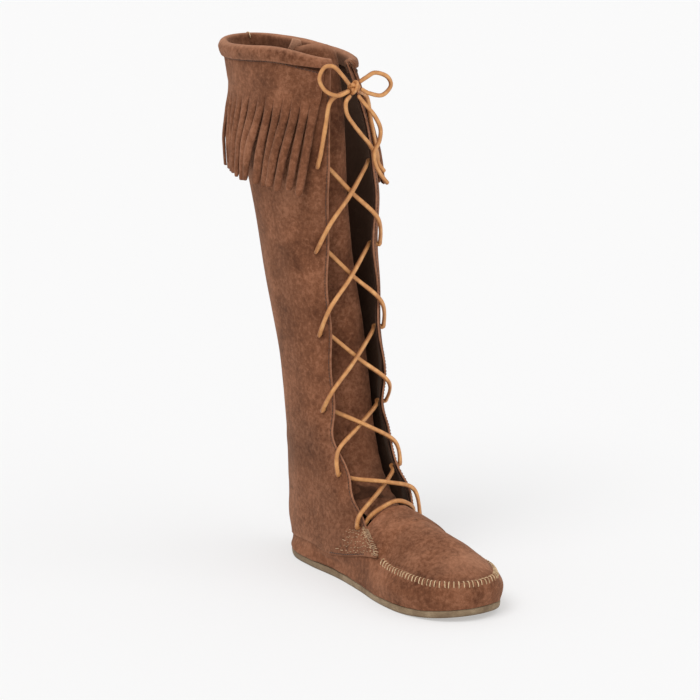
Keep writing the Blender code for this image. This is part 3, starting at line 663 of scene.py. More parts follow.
def thread(name, dark, light):
    """Waxed thread with its twist."""
    n = Nodes(name, Roughness=0.62, Specular_IOR_Level=0.3, Sheen_Weight=0.25, Sheen_Roughness=0.4)
    ply = n.noise(3600, 2, 0.6, 0.3)
    colour = n.ramp(n.noise(260, 2, 0.6), (0.32, dark), (0.62, light))
    colour = n.flecked(colour, ply, (0.3, (0.7, 0.68, 0.64)), (0.6, (1.1, 1.1, 1.1)))
    return n.finish(colour, (ply, 0.6, 0.0003))


def fibre(name, dark, light, scale):
    """Pressed board or brushed lining."""
    n = Nodes(name, Roughness=0.9, Specular_IOR_Level=0.2, Sheen_Weight=0.2, Sheen_Roughness=0.6)
    weave = n.noise(2400, 3, 0.7)
    colour = n.ramp(n.noise(scale, 4, 0.65, 0.6), (0.35, dark), (0.65, light))
    colour = n.flecked(colour, weave, (0.3, (0.75, 0.75, 0.75)), (0.6, (1.1, 1.1, 1.1)))
    return n.finish(colour, (weave, 0.5, 0.0003))


BROWN = suede("brown_suede", (0.104, 0.0355, 0.016), (0.196, 0.0735, 0.035), (0.310, 0.127, 0.066),
              (0.49, 0.235, 0.138))
DARK = suede("flesh_side", (0.020, 0.009, 0.006), (0.034, 0.015, 0.010), (0.050, 0.023, 0.015),
             (0.12, 0.06, 0.04))
# a lighter suede for the tongue's dog-eared corner: its flesh side turned up, made lighter also to stand for
# the light it catches
TURNED_LIT = suede("turned_lit_suede", (0.25, 0.11, 0.06), (0.36, 0.17, 0.10), (0.46, 0.235, 0.145),
               (0.60, 0.34, 0.22))
LACE = lace_leather()
CREPE = crepe()
CREAM = thread("cream_thread", (0.44, 0.28, 0.15), (0.78, 0.57, 0.34))
TAN = thread("tan_thread", (0.33, 0.195, 0.105), (0.58, 0.385, 0.225))
BROWN_THREAD = thread("brown_thread", (0.055, 0.024, 0.014), (0.11, 0.05, 0.03))
BOARD = fibre("fibre_board", (0.27, 0.19, 0.12), (0.40, 0.30, 0.20), 200)
LINING = fibre("footbed_lining", (0.24, 0.14, 0.085), (0.36, 0.23, 0.145), 90)


# ---------------------------------------------------------------- camera, floor and light
def make_camera():
    data = bpy.data.cameras.new("camera")
    data.sensor_width = 36
    data.lens = 131.7
    data.shift_x = -0.029
    data.shift_y = -0.032
    data.clip_start = 0.01
    camera = bpy.data.objects.new("camera", data)
    camera.location = (-1.1039, -1.6678, 0.64)
    aim = Vector((0, 0.03, 0.205)) - camera.location
    camera.rotation_euler = aim.to_track_quat("-Z", "Y").to_euler()
    bpy.context.scene.collection.objects.link(camera)
    bpy.context.scene.camera = camera


def make_stage():
    mesh = bpy.data.meshes.new("floor")
    half = 14.0
    corners = [(-half, -half, 0), (half, -half, 0), (half, half, 0), (-half, half, 0)]
    mesh.from_pydata(corners, [], [(0, 1, 2, 3)])
    pale = bpy.data.materials.new("pale_floor")
    pale.use_nodes = True
    settings = (("Base Color", (0.50, 0.50, 0.503, 1)), ("Emission Color", (1, 1, 1, 1)),
                ("Emission Strength", 0.41), ("Roughness", 0.8), ("Specular IOR Level", 0.1))
    for key, value in settings:
        pale.node_tree.nodes["Principled BSDF"].inputs[key].default_value = value
    mesh.materials.append(pale)
    floor = bpy.data.objects.new("floor", mesh)
    bpy.context.scene.collection.objects.link(floor)
    world = bpy.data.worlds.new("studio")
    world.use_nodes = True
    background = world.node_tree.nodes["Background"].inputs
    background["Color"].default_value = (1, 0.995, 0.985, 1)
    background["Strength"].default_value = 0.64
    bpy.context.scene.world = world
    for name, azimuth, elevation, strength, size in (("key", -70, 58, 1.3, 35), ("fill", 35, 38, 0.5, 60)):
        light = bpy.data.lights.new(name, "SUN")
        light.energy = strength
        light.angle = math.radians(size)
        lamp = bpy.data.objects.new(name, light)
        a, e = math.radians(azimuth), math.radians(elevation)
        toward = Vector((math.sin(a) * math.cos(e), -math.cos(a) * math.cos(e), math.sin(e)))
        lamp.rotation_euler = toward.to_track_quat("Z", "Y").to_euler()
        lamp.location = toward * 3
        bpy.context.scene.collection.objects.link(lamp)
    bpy.context.scene.view_settings.view_transform = "Standard"


# ---------------------------------------------------------------- the foot
def make_outsole():
    profile = [(0.030, 0.0), (0.010, 0.0), (0.0018, 0.0), (0.0007, 0.0006), (0.0001, 0.002),
               (-0.0001, 0.0042), (0.0001, 0.0053), (0.0007, 0.0060), (0.0022, 0.0062), (0.0042, 0.0064),
               (0.010, SOLE_THICK), (0.030, SOLE_THICK)]
    rings, shade = [], []
    for inset, z in spline([(a, z, 0) for a, z in profile], 41)[:, :2]:
        p = outline(max(inset, -0.0002), 420)
        crinkle = noise(np.column_stack([p, np.full(len(p), z)]), (0.006, 0.006, 0.004), 5)
        outward = unit(np.column_stack([p - p.mean(0), np.zeros(len(p))]))
        ring = np.column_stack([p, z + toe_lift(p[:, 1])])
        rings.append(ring + outward * (0.00018 * near(inset, 0, 0.003) * crinkle)[:, None])
        # darker along the lowest 2 mm and toward the heel; painted shade along the top edge, under the
        # vamp's wall
        low_edge, under_wall = 1 - step(0.0, 0.0022, z), step(0.005, 0.006, z)
        shade.append(0.75 * low_edge + 0.45 * under_wall + 0.3 * step(-0.02, 0.1, p[:, 1]))
    verts, faces = capped(rings, [(0, 0, 0), (0, 0, SOLE_THICK)])
    build("sole", verts, faces, CREPE, shade=np.append(np.concatenate(shade), [0.3, 0.3]),
          slot="crepe_sole", stands_for=("outsole",))


def make_footbed():
    """The padded insole, with a softly rounded edge and a hollow heel seat."""
    inset, low, high, edge = 0.0078, 0.0123, 0.0163, 0.0015
    profile = [(0.02, low), (0.0, low), (-0.0002, (low + high) / 2), (edge * 0.3, high - edge * 0.3)]
    profile += [(edge + k, high) for k in (0, 0.003, 0.007, 0.012, 0.018, 0.024)]
    rings = []
    for extra, z in profile:
        p = outline(inset + extra, 160)
        ring = np.column_stack([p, z + toe_lift(p[:, 1])])
        if z >= high:
            depth = step(0, 0.024, extra)
            ring[:, 2] += 0.0008 * (0.4 - near(p[:, 1], 0.075, 0.05)) * depth
            ring[:, 2] += 0.0003 * noise(ring, 0.012, 8) * depth
        rings.append(ring)
    verts, faces = capped(rings, [rings[0].mean(0), rings[-1].mean(0)])
    footbed = build("insole_pad", verts, faces, LINING, slot="footbed", stands_for=("footbed",))


def keep_inner_parts():
    """Hidden stiffeners keep their CAD shape and get a finish."""
    for node in ("insole_board", "heel_counter"):
        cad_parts[node].data.materials.clear()
        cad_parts[node].data.materials.append(BOARD)


SEAM_LINE = spline(SEAM, 700)
SEAM_RUN = length_along(SEAM_LINE)
SEAM_MIDDLE = np.array([0, -0.05, 0.03])
STITCH_PITCH = 0.0037
WHIP_END = 0.001     # where the whip stitches begin and end along the seam


def to_seam(points):
    """Distance to the toe seam and the place along it, for each point."""
    flat = points.reshape(-1, 3)
    coarse = SEAM_LINE[::2]
    nearest = np.empty(len(flat), int)
    for k in range(0, len(flat), 4000):
        gap = np.linalg.norm(flat[k:k + 4000, None, :] - coarse[None], axis=2)
        nearest[k:k + 4000] = np.argmin(gap, axis=1)
    distance = np.linalg.norm(flat - coarse[nearest], axis=1)
    return distance.reshape(points.shape[:-1]), SEAM_RUN[::2][nearest].reshape(points.shape[:-1])


def gathers(distance, run, reach):
    """Puckers that the whip stitches draw up, highest between two stitches."""
    ends = step(0, 0.02, run) * step(0, 0.02, SEAM_RUN[-1] - run)
    phase = run / STITCH_PITCH + 0.25 * np.sin(run * 170)
    return -np.cos(2 * np.pi * phase) * np.exp(-distance / reach) * (0.35 + 0.65 * ends)


def wall_stations(front, rear):
    """Foot of the vamp's wall, its outward direction, and the wall's upper loops; first the
    stations round the toe under the seam, then those round the heel under the hem."""
    seam = spline(SEAM, front)
    side = np.linspace(0.95, -0.95, rear)
    hem = leg(0.0, side, -LAYER)
    plan = spline(SOLE, 6000, closed=True)
    both = np.vstack([seam, hem])
    close = np.array([plan[np.argmin(np.sum((plan - p[:2]) ** 2, axis=1))] for p in both])
    for _ in range(6):
        close[1:-1] = (close[:-2] + 2 * close[1:-1] + close[2:]) / 4
    middle = np.column_stack([np.zeros(len(close)), np.clip(close[:, 1], -0.075, 0.08)])
    outward = unit(close - middle)
    spring = toe_lift(close[:, 1])
    toe, spring_toe = close[:front], spring[:front]
    place = np.linspace(0, CAD_STATIONS, front)
    bulge = outward[:front] * (TOE_BULGE * step(0, 6, np.minimum(place, CAD_STATIONS - place)))[:, None]
    low_toe = np.column_stack([toe + bulge, 0.0175 + 0.8 * spring_toe])
    high_toe = np.column_stack([0.45 * toe + 0.55 * seam[:, :2] + 0.8 * bulge, 0.0255 + 0.5 * spring_toe])
    foot = np.column_stack([close - outward * 0.0012, SOLE_THICK + GAP + spring])
    low = np.vstack([low_toe, 0.5 * foot[front:] + 0.5 * hem])
    high = np.vstack([high_toe, hem])
    top = np.vstack([seam, leg(0.046, side, -LAYER - SHELL_GAP)])
    return foot, outward, low, high, top


def make_vamp():
    front, rear = 330, 300
    foot, outward, low, high, top = wall_stations(front, rear)
    floor, tuck, lip = (foot + np.column_stack([outward * out, np.full(len(foot), up)])
                        for out, up in ((-0.006, 0), (0.0002, -0.0016), (0.0014, -0.0005)))
    keys = np.stack([floor, tuck, lip, low, high, top])
    outer = np.array([spline(keys[:, k], 40) for k in range(keys.shape[1])]).transpose(1, 0, 2)
    along = np.roll(outer, -1, 1) - np.roll(outer, 1, 1)
    centre = outer.mean(axis=(0, 1)) + np.array([0, 0, 0.004])
    normal = aimed(unit(np.cross(along, np.gradient(outer, axis=0))), outer - centre)
    distance, run = to_seam(outer)
    rows, count = outer.shape[:2]
    total = rows * count
    toe = np.zeros((rows, count))
    toe[:, :front] = step(0, 20, np.minimum(np.arange(front), front - 1 - np.arange(front)))[None, :]
    rise = np.linspace(0, 1, rows)[:, None]
    pleat = toe * gathers(distance, run, 0.0042)
    dents = 0.0009 * noise(outer, (0.03, 0.03, 0.016), 11) + 0.0004 * noise(outer, 0.010, 12)
    fixed = step(0.05, 0.3, rise) * (1 - 0.9 * step(0.6, 0.8, rise) * (1 - toe))
    outer = outer + normal * (0.00038 * pleat + dents * fixed)[..., None]
    outer[..., 2] += 0.0011 * toe * near(distance, 0, 0.0016)
    inner = outer - normal * SUEDE
    worn_and_lit = 0.30 * toe * near(distance, 0, 0.003) + 0.16 * np.clip(pleat, 0, 1)
    worn_and_lit = worn_and_lit + 0.15 * toe * step(0.3, 0.6, rise) * patches(outer, 0.02, 21)
    # painted shade at the wall's foot, where it tucks onto the sole, and in the troughs of the puckers
    soil_and_shade = 0.75 * (1 - step(0.06, 0.20, rise)) + 0.5 * toe * np.clip(-pleat, 0, 1)
    skin_faces = grid_faces(rows, count, closed_cols=True)
    faces = skin_faces + [[i + total for i in reversed(f)] for f in skin_faces]
    rim = (rows - 1) * count
    for c in range(count):
        d = (c + 1) % count
        faces += [[rim + c, rim + d, rim + d + total, rim + c + total], [d, c, c + total, d + total]]
    verts = np.vstack([outer.reshape(-1, 3), inner.reshape(-1, 3)])
    wear_and_highlight = np.append(worn_and_lit.ravel(), np.zeros(total))
    # painted shade on the inner face
    shade = np.append(soil_and_shade.ravel(), np.full(total, 0.4))
    build("foot_wall", verts, faces, BROWN, wear_and_highlight, shade, slot="suede", stands_for=("vamp",))


def plug_surface():
    """The plug's outer surface: rows from the toe to the throat, columns across."""
    count, wide = 130, 91
    seam = spline(SEAM, 4 * count + 1)
    mid = 2 * count
    place = (np.linspace(0, 1, count) * mid).astype(int)
    v = np.linspace(0, 0.1, count // 2 + 1)[1:]
    lateral = np.vstack([seam[mid - place], leg(v, -1)])[1:]
    medial = np.vstack([seam[mid + place], leg(v, 1)])[1:]
    run = np.linalg.norm(np.diff((lateral + medial) / 2, axis=0), axis=1)
    share = np.concatenate([[0.004], 0.004 + 0.996 * np.cumsum(run) / run.sum()])
    width = medial - lateral
    trim = (0.0006 / np.linalg.norm(width, axis=1))[:, None]
    lateral, medial = lateral + width * trim, medial - width * trim
    height = eased(INSTEP, share) * MM
    u = np.sin(np.linspace(-np.pi / 2, np.pi / 2, wide))
    shape = (1 - u**2) ** 0.8
    grid = lateral[:, None] * (1 - u[None, :, None]) / 2 + medial[:, None] * (1 + u[None, :, None]) / 2
    grid[..., 2] += (height[:, None] - grid[..., 2]) * shape[None, :]
    throat = np.clip((share - 0.8) / 0.2, 0, 1)
    grid[..., 1] += 0.0004 - (throat**2)[:, None] * 0.004 * shape[None, :]
    return grid, share[:, None], u[None, :]


def make_plug():
    grid, share, u = plug_surface()
    normal = aimed(sheet_normal(grid), (0, 0, 1))
    distance, run = to_seam(grid)
    seam_part = 1 - step(0.62, 0.72, share)
    pleat = seam_part * gathers(distance, run, 0.0046)
    inside = 1 - near(distance, 0, 0.006)
    crown = 1 - u**2
    dents = 0.0010 * noise(grid, (0.034, 0.034, 0.05), 31) + 0.0004 * noise(grid, 0.012, 32)
    folds = step(0.84, 0.97, share) * crown * 0.0009 * noise(grid, (0.009, 0.03, 0.03), 33)
    grid = grid + normal * (0.00038 * pleat + dents * inside + folds)[..., None]
    ridge = near(distance, 0, 0.0017) * (0.3 + 0.7 * seam_part)
    dip = near(distance, 0.0042, 0.0022) * seam_part
    grid[..., 2] += 0.0010 * ridge - 0.0005 * dip
    worn_and_lit = 0.30 * near(distance, 0, 0.003) + 0.2 * np.clip(pleat, 0, 1)
    worn_and_lit = worn_and_lit + 0.38 * patches(grid, 0.028, 34) * inside
    # painted highlight along the plug's crown, over the toe and the instep
    worn_and_lit = worn_and_lit + (0.42 * near(share, 0.16, 0.14) + 0.22 * near(share, 0.62, 0.16)) * crown
    # painted shade in the troughs of the puckers and in the dip beside the seam ridge; the noise patches
    # after it are a random darker tone
    soil_and_shade = 0.55 * np.clip(-pleat, 0, 1) + 0.4 * dip
    soil_and_shade = soil_and_shade + 0.35 * np.clip(-noise(grid, 0.03, 35), 0, 1) * inside
    hide("apron", grid, grid - normal * SUEDE, BROWN, wear_and_highlight=worn_and_lit, shade=soil_and_shade, slot="suede",
         stands_for=("plug",))


def make_whip_stitches():
    """Stitches over the toe seam, from the plug across the ridge and down the wall."""
    rng = np.random.RandomState(5)
    along = unit(np.gradient(SEAM_LINE, axis=0))
    outward = aimed(unit(np.cross(along, (0, 0, 1.0))), SEAM_LINE - SEAM_MIDDLE)
    parts = []
    at = WHIP_END
    while at < SEAM_RUN[-1] - WHIP_END:
        k = int(np.interp(at, SEAM_RUN, np.arange(len(SEAM_RUN))))
        slant = along[k] * rng.uniform(-0.0003, 0.0006)
        low = rng.uniform(0.9, 1.12)
        knots = [SEAM_LINE[k] + outward[k] * out * MM + slant * lean + np.array([0, 0, up * MM])
                 for out, lean, up in whip_knots(low)]
        width = rng.uniform(0.0008, 0.001)
        parts.append(tube(spline(knots, 14), width, width * 0.9, sides=7))
        at += STITCH_PITCH * rng.uniform(0.95, 1.05)
    sew("whip_stitches", parts, CREAM, stands_for=("moc_stitching",))
    make_throat_stitches(rng)


def whip_knots(low):
    """One whip stitch: outward (mm), share of its slant, and up (mm). low is how far it reaches down."""
    return ((-2.8, -1.4, 0.2), (-2.2, -1, 0.9), (-0.9, 0, 1.6), (0.5, 0.6, 1.3),
            (1.4 * low, 1, -0.3), (1.9 * low, 1.2, -1.9 * low), (1.4 * low, 1.3, -2.4 * low))


def make_throat_stitches(rng):
    """The closer, finer stitches over the lacing edge on each side of the throat."""
    parts = []
    for side in (-1, 1):
        for v in np.arange(0.003, 0.094, 0.0064):
            v = v + rng.uniform(-0.0022, 0.0022)
            p, n = leg(v, side), leg_normal(v, side)
            beyond = unit(leg(v, side) - leg(v, side * 0.99))
            q = [p - beyond * rng.uniform(0.0022, 0.0036) + n * 0.0002, p - beyond * 0.0018 + n * 0.0008,
                 p + n * 0.0013, p + beyond * 0.0014 + n * 0.0010,
                 p + beyond * rng.uniform(0.0018, 0.0030) - n * 0.0002]
            width = rng.uniform(0.00045, 0.00075)
            parts.append(tube(spline(q, 12), width, width))
    sew("throat_stitches", parts, TAN)


# ---------------------------------------------------------------- the leg
def hole_mask(v, side, which, first=0):
    """Cells of a panel that the lacing holes take away, and the centres and axes of the holes."""
    cell_v = (v[1:, None] + v[:-1, None]) / 2 + np.zeros((1, side.shape[1] - 1))
    cell_s = (side[1:, 1:] + side[1:, :-1] + side[:-1, 1:] + side[:-1, :-1]) / 4
    middle = skin(cell_v, cell_s)
    keep = np.ones(cell_v.shape, bool)
    holes = []
    for level in HOLE_HEIGHTS[first:]:
        s = side_at(level, which, HOLE_IN)
        centre, axis = skin(level, s), leg_normal(level, s)
        gap = np.linalg.norm(middle - centre, axis=-1)
        keep &= gap > HOLE_R
        holes.append((centre, axis))
    return keep, holes


def round_holes(grid, keep, holes):
    """Snaps the ragged cells round each hole onto a circle."""
    touched = np.zeros(grid.shape[:2], int)
    for dr in (0, 1):
        for dc in (0, 1):
            touched[dr:grid.shape[0] - 1 + dr, dc:grid.shape[1] - 1 + dc] += ~keep
    ring = (touched > 0) & (touched < 4)
    for centre, axis in holes:
        offset = grid - centre
        high = np.sum(offset * axis, -1, keepdims=True)
        flat = offset - high * axis
        close = ring & (np.linalg.norm(flat, axis=-1) < 2.2 * HOLE_R)
        grid[close] = (centre + high * axis + unit(flat) * HOLE_R)[close]
    return grid


def near_holes(v, side, which, reach):
    """1 at each lacing hole, fading over the reach."""
    p = leg(v, side)
    total = 0
    for level in HOLE_HEIGHTS:
        centre = leg(level, side_at(level, which, HOLE_IN))
        total = total + near(np.linalg.norm(p - centre, axis=-1), 0, reach)
    return np.clip(total, 0, 1)


def make_shaft():
    for name, which in (("lateral", -1), ("medial", 1)):
        v = np.linspace(0, 1, 262)
        t = np.linspace(0, 1, 116) ** 1.3
        side = which * (1 - (1 - BACK_SEAM) * t)[None, :] + np.zeros((len(v), 1))
        vv = v[:, None] + np.zeros_like(side)
        keep, holes = hole_mask(v, side, which)
        outer, inner = (round_holes(skin(vv, side, off), keep, holes) for off in (0.0, -SUEDE))
        from_edge = (1 - np.abs(side)) * half_girth(vv)
        ring = near_holes(vv, side, which, 0.0038)
        groove = near(from_edge, 0.0021, 0.0006) * step(0.08, 0.1, vv)
        hem = (1 - step(0.0, 0.045, vv)) * (1 - step(0.80, 0.97, np.abs(side)))
        outer = outer - leg_normal(vv, side) * (0.00022 * groove + 0.0003 * ring + 0.0011 * hem)[..., None]
        worn_and_lit = 0.5 * np.exp(-from_edge / 0.0011) * step(0.09, 0.11, vv)
        worn_and_lit = worn_and_lit + 0.28 * patches(outer, (0.03, 0.03, 0.05), 41)
        worn_and_lit = worn_and_lit + 0.12 * near(vv, 0.08, 0.06) + 0.18 * near(vv, 0, 0.01)
        # painted shade round the lacing holes, in the groove by the lacing edge and near the top under the
        # band; the patches are a random darker tone
        soil_and_shade = 0.85 * ring + 0.4 * patches(outer, (0.04, 0.04, 0.05), 42) + 0.22 * groove
        soil_and_shade = soil_and_shade + 0.3 * near(vv, 0.93, 0.05)
        soil_and_shade = soil_and_shade + 0.45 * near(vv, 0.19, 0.11) * patches(outer, 0.03, 43, more=0.25)
        hide(f"leg_{name}", outer, inner, BROWN, keep=keep, wear_and_highlight=worn_and_lit, shade=soil_and_shade, slot="suede",
             stands_for=(f"shaft_{name}",))


def make_back_strip():
    half, stitch_line = 0.045, 0.032
    vv, ss = np.meshgrid(np.linspace(0.03, 0.8, 210), np.linspace(-half, half, 17), indexing="ij")
    crown = 0.0004 * (1 - (ss / half) ** 2)
    edge = near(np.abs(ss), stitch_line, 0.006)
    outer = skin(vv, ss, LAYER + crown) - leg_normal(vv, ss) * (0.0002 * edge)[..., None]
    hide("back_strip", outer, skin(vv, ss, SHELL_GAP * 0.4), BROWN,
         wear_and_highlight=0.25 * near(np.abs(ss), half, 0.006), shade=0.35 * edge, slot="suede",
         stands_for=("back_seam_strip",))
    v = np.linspace(0.034, 0.796, 700)
    parts = []
    for s in (-stitch_line, stitch_line):
        parts += stitch_row(skin(v, s, LAYER + 0.0003), leg_normal(v, s), 0.0029, 0.0021, 0.00034, seed=61)
    sew("back_strip_stitches", parts, BROWN_THREAD)


def make_facings():
    for name, which in (("lateral", -1), ("medial", 1)):
        v = np.linspace(*FACING_LEVELS, 240)
        near_edge, far_edge = (np.array([side_at(k, which, edge) for k in v])[:, None]
                               for edge in (0.003, 0.017))
        side = near_edge + (far_edge - near_edge) * np.linspace(0, 1, 18)[None, :]
        vv = v[:, None] + np.zeros_like(side)
        keep, holes = hole_mask(v, side, which, first=1)
        outer, inner = (round_holes(skin(vv, side, off), keep, holes)
                        for off in (-FACING_IN, -FACING_IN - FACING_THICK))
        hide(f"facing_{name}_hide", outer, inner, DARK, keep=keep, slot="dark_suede",
             stands_for=(f"facing_{name}",))


# rows of stitches on the tab: their level, and how far they reach from the lacing edge
TAB_ROWS = ((0.010, 0.046), (0.022, 0.044), (0.034, 0.040), (0.046, 0.037), (0.060, 0.033), (0.076, 0.028))


def loose_stitches(which):
    """Short uneven stitches: scattered in rows over the tab, and crowded along its lacing edge."""
    rng = np.random.RandomState(90 + which)
    marks = [(v, rng.uniform(0.0022, 0.0078), rng.uniform(0.0016, 0.0028))
             for v in np.arange(0.004, 0.104, 0.0022)]
    for level, far in TAB_ROWS:
        for reach in np.arange(0.007, far, 0.0027):
            marks.append((level + rng.uniform(-0.004, 0.004), reach + rng.uniform(-0.001, 0.001),
                          rng.uniform(0.0007, 0.0014)))
    parts = []
    for v, reach, long in marks:
        slope = rng.uniform(-0.8, 0.8)
        at = np.linspace(-0.5, 0.5, DASH_POINTS) * long
        s = which * (1 - (reach + at * math.cos(slope)) / half_girth(v))
        level = v + at * math.sin(slope) / LEG_RISE
        lift = 0.0004 * (1 - np.linspace(-1, 1, DASH_POINTS) ** 4) - rng.uniform(0.00015, 0.0003)
        parts.append(tube(skin(level, s, lift), 0.0006, 0.0006))
    return parts


def make_leg_stitches():
    """Rows of thread along the lacing edges and the hem, and short stitches on the instep's tabs."""
    dark, pale = [], []
    for which in (-1, 1):
        v = np.linspace(0.105, 0.958, 1400)
        s = which * (1 - 0.0021 / half_girth(v))
        dark += stitch_row(skin(v, s), leg_normal(v, s), 0.0027, 0.0019, 0.00032, sink=0.72, seed=62)
        pale += loose_stitches(which)
        v, s = 0.004, which * np.linspace(0.78, 0.93, 240)
        dark += stitch_row(skin(v, s), leg_normal(v, s), 0.0028, 0.0019, 0.00034, sink=0.7, seed=70)
    sew("leg_stitches", dark, BROWN_THREAD)
    sew("tab_stitches", pale, TAN)


def make_collar():
    """A soft roll of suede folded over the mouth."""
    out_low, out_high = LAYER + SHELL_GAP, LAYER + 0.0031
    inner_face, inner_back = -LAYER, -LAYER - SUEDE
    drop = COLLAR_DROP
    shell = [(out_low + 0.0004, -drop + 0.0002), (out_low + 0.0014, -drop - 0.0006),
             (out_high - 0.0006, -drop + 0.0009), (out_high, -drop * 0.62), (out_high + 0.0001, -drop * 0.3),
             (out_high - 0.0006, -0.0008), (0.0028, 0.0016), (0.0004, 0.0024), (-0.0020, 0.0017),
             (-0.0034, -0.0002), (inner_back, -0.0030), (inner_back, -0.0090)]
    shell = resample(spline([(a, b, 0) for a, b in shell], 200), count=46)[:, :2]
    back = [(inner_face, -0.009), (inner_face, -0.004), (inner_face, 0.0002), (-0.0003, 0.0006),
            (out_low - 0.0003, 0.0004), (out_low, -0.003), (out_low, -drop + 0.0006)]
    profile = np.vstack([shell, back])
    face = np.zeros(len(profile))
    face[2:44] = 1
    side = np.linspace(-1, 1, 300)
    base = leg(1, side)
    outward = unit(leg(1, side, 0.001) - base)
    up = unit(base - leg(0.98, side))
    rings, wear_and_highlight, shade = [], [], []
    for s, root, out, rise in zip(side, base, outward, up):
        a, b = profile.T
        b = np.where((a > 0) & (b < 0), b * (1 - 0.33 * step(0.72, 0.97, abs(s))), b)
        p = root + out * a[:, None] + rise * b[:, None]
        lump = 0.00035 * noise(p, (0.016, 0.016, 0.03), 51) + 0.00022 * noise(p, 0.006, 52)
        seam = near(s, 0.0, 0.0035)
        rings.append(p + (out * np.sign(a)[:, None]) * ((lump - 0.0011 * seam) * face)[:, None])
        # the fold's top is lighter, rubbed nap with a painted highlight; painted shade in the back seam's
        # groove, under the roll's lower edge and on its inner side
        wear_and_highlight.append(0.12 + 0.6 * near(b, 0.0022, 0.0016) * (a > -0.003) + 0.25 * near(b, -drop, 0.0009))
        shade.append(0.8 * seam * face + 0.35 * (b < -drop + 0.0004) + 0.5 * step(0.0012, 0.0034, -a))
    verts, faces = capped(rings, [rings[0].mean(0), rings[-1].mean(0)])
    build("collar_roll", verts, faces, BROWN, np.append(np.concatenate(wear_and_highlight), [1, 1]),
          np.append(np.concatenate(shade), [0, 0]), slot="suede", stands_for=("collar",))
    tail = base[150] + np.array([(-0.4, 0.6, 2.4), (0.2, -0.4, 2.9), (0.5, -2.2, 2.6),
                                 (0.2, -4.0, 0.8), (0.5, -4.3, -1.4)]) * MM
    sew("seam_thread_end", [tube(spline(tail, 20), 0.0008, 0.0008)], CREAM)


def band_level(sides, drop):
    """The levels that lie drop below the mouth, at several sides."""
    return np.array([level_below_top(s, drop) for s in sides])


BAND_SIDES = np.linspace(-BAND_EDGE, BAND_EDGE, 321)
BAND_TOP = band_level(BAND_SIDES, 0.0035)
BAND_LOW = band_level(BAND_SIDES, COLLAR_DROP + FRINGE_BAND - SLIT_UP)


def make_band():
    """The solid upper part of the fringe; its lower edge runs on into the strips."""
    t = np.linspace(0, 1, 40)[:, None]
    side = BAND_SIDES * (1 - (1 - FRINGE_EDGE / BAND_EDGE) * t)
    v = BAND_TOP + (BAND_LOW - BAND_TOP) * t
    v = v + t * (np.interp(side[-1], BAND_SIDES, BAND_LOW) - v[-1])
    outer, inner = skin(v, side, LAYER), skin(v, side, SHELL_GAP)
    below = t + np.zeros_like(v)
    swell = 0.0007 * noise(outer, (0.018, 0.018, 0.05), 71)
    swell = swell * step(0.2, 0.5, below) * (1 - step(0.85, 1, below))
    outer = outer + leg_normal(v, side) * (np.abs(swell) - 0.0002 * near(below, 0.22, 0.03))[..., None]
    worn_and_lit = 0.12 * patches(outer, (0.02, 0.02, 0.03), 72)
    # painted shadow under the collar roll along the band's top; the patches are a random darker tone
    soil_and_shade = 0.75 * (1 - step(0.17, 0.25, below)) + 0.3 * patches(outer, 0.03, 73)
    hide("fringe_top", outer, inner, BROWN, wear_and_highlight=worn_and_lit, shade=soil_and_shade, open_rows=(len(t) - 1,), slot="suede",
         stands_for=("fringe_band",))
    s = np.linspace(-BAND_EDGE + 0.01, BAND_EDGE - 0.01, 1500)
    v = np.interp(s, s[::30], band_level(s[::30], COLLAR_DROP + 0.0012))
    parts = stitch_row(skin(v, s, LAYER), leg_normal(v, s), 0.0029, 0.0020, 0.00036, seed=74)
    sew("collar_stitches", parts, BROWN_THREAD)


def strip_shape(side, down, off, lean, stand):
    """Where the hanging fringe lies, down below the slit line; arrays of matching shape."""
    start = np.interp(side, BAND_SIDES, BAND_LOW)
    root = skin(start, side, off)
    fall = down + 0 * side
    v = start - fall / LEG_RISE
    slide = side - FRINGE_LEAN * fall * np.tanh(side / LEAN_EASE) + lean * (fall / FRINGE_STRIP) ** 1.4
    lying = skin(v, slide, off)
    normal = leg_normal(v, slide)
    outward = unit(normal * np.array([1, 1, 0]))
    clear = np.sum((root - lying) * np.array([1, 1, 0]) * outward, -1)
    clear = np.where(clear > 0, clear, 0) + 0.0006 * np.minimum(1, fall / 0.02)
    return lying + outward * (clear + stand * step(0.004, 0.05, fall))[..., None], outward


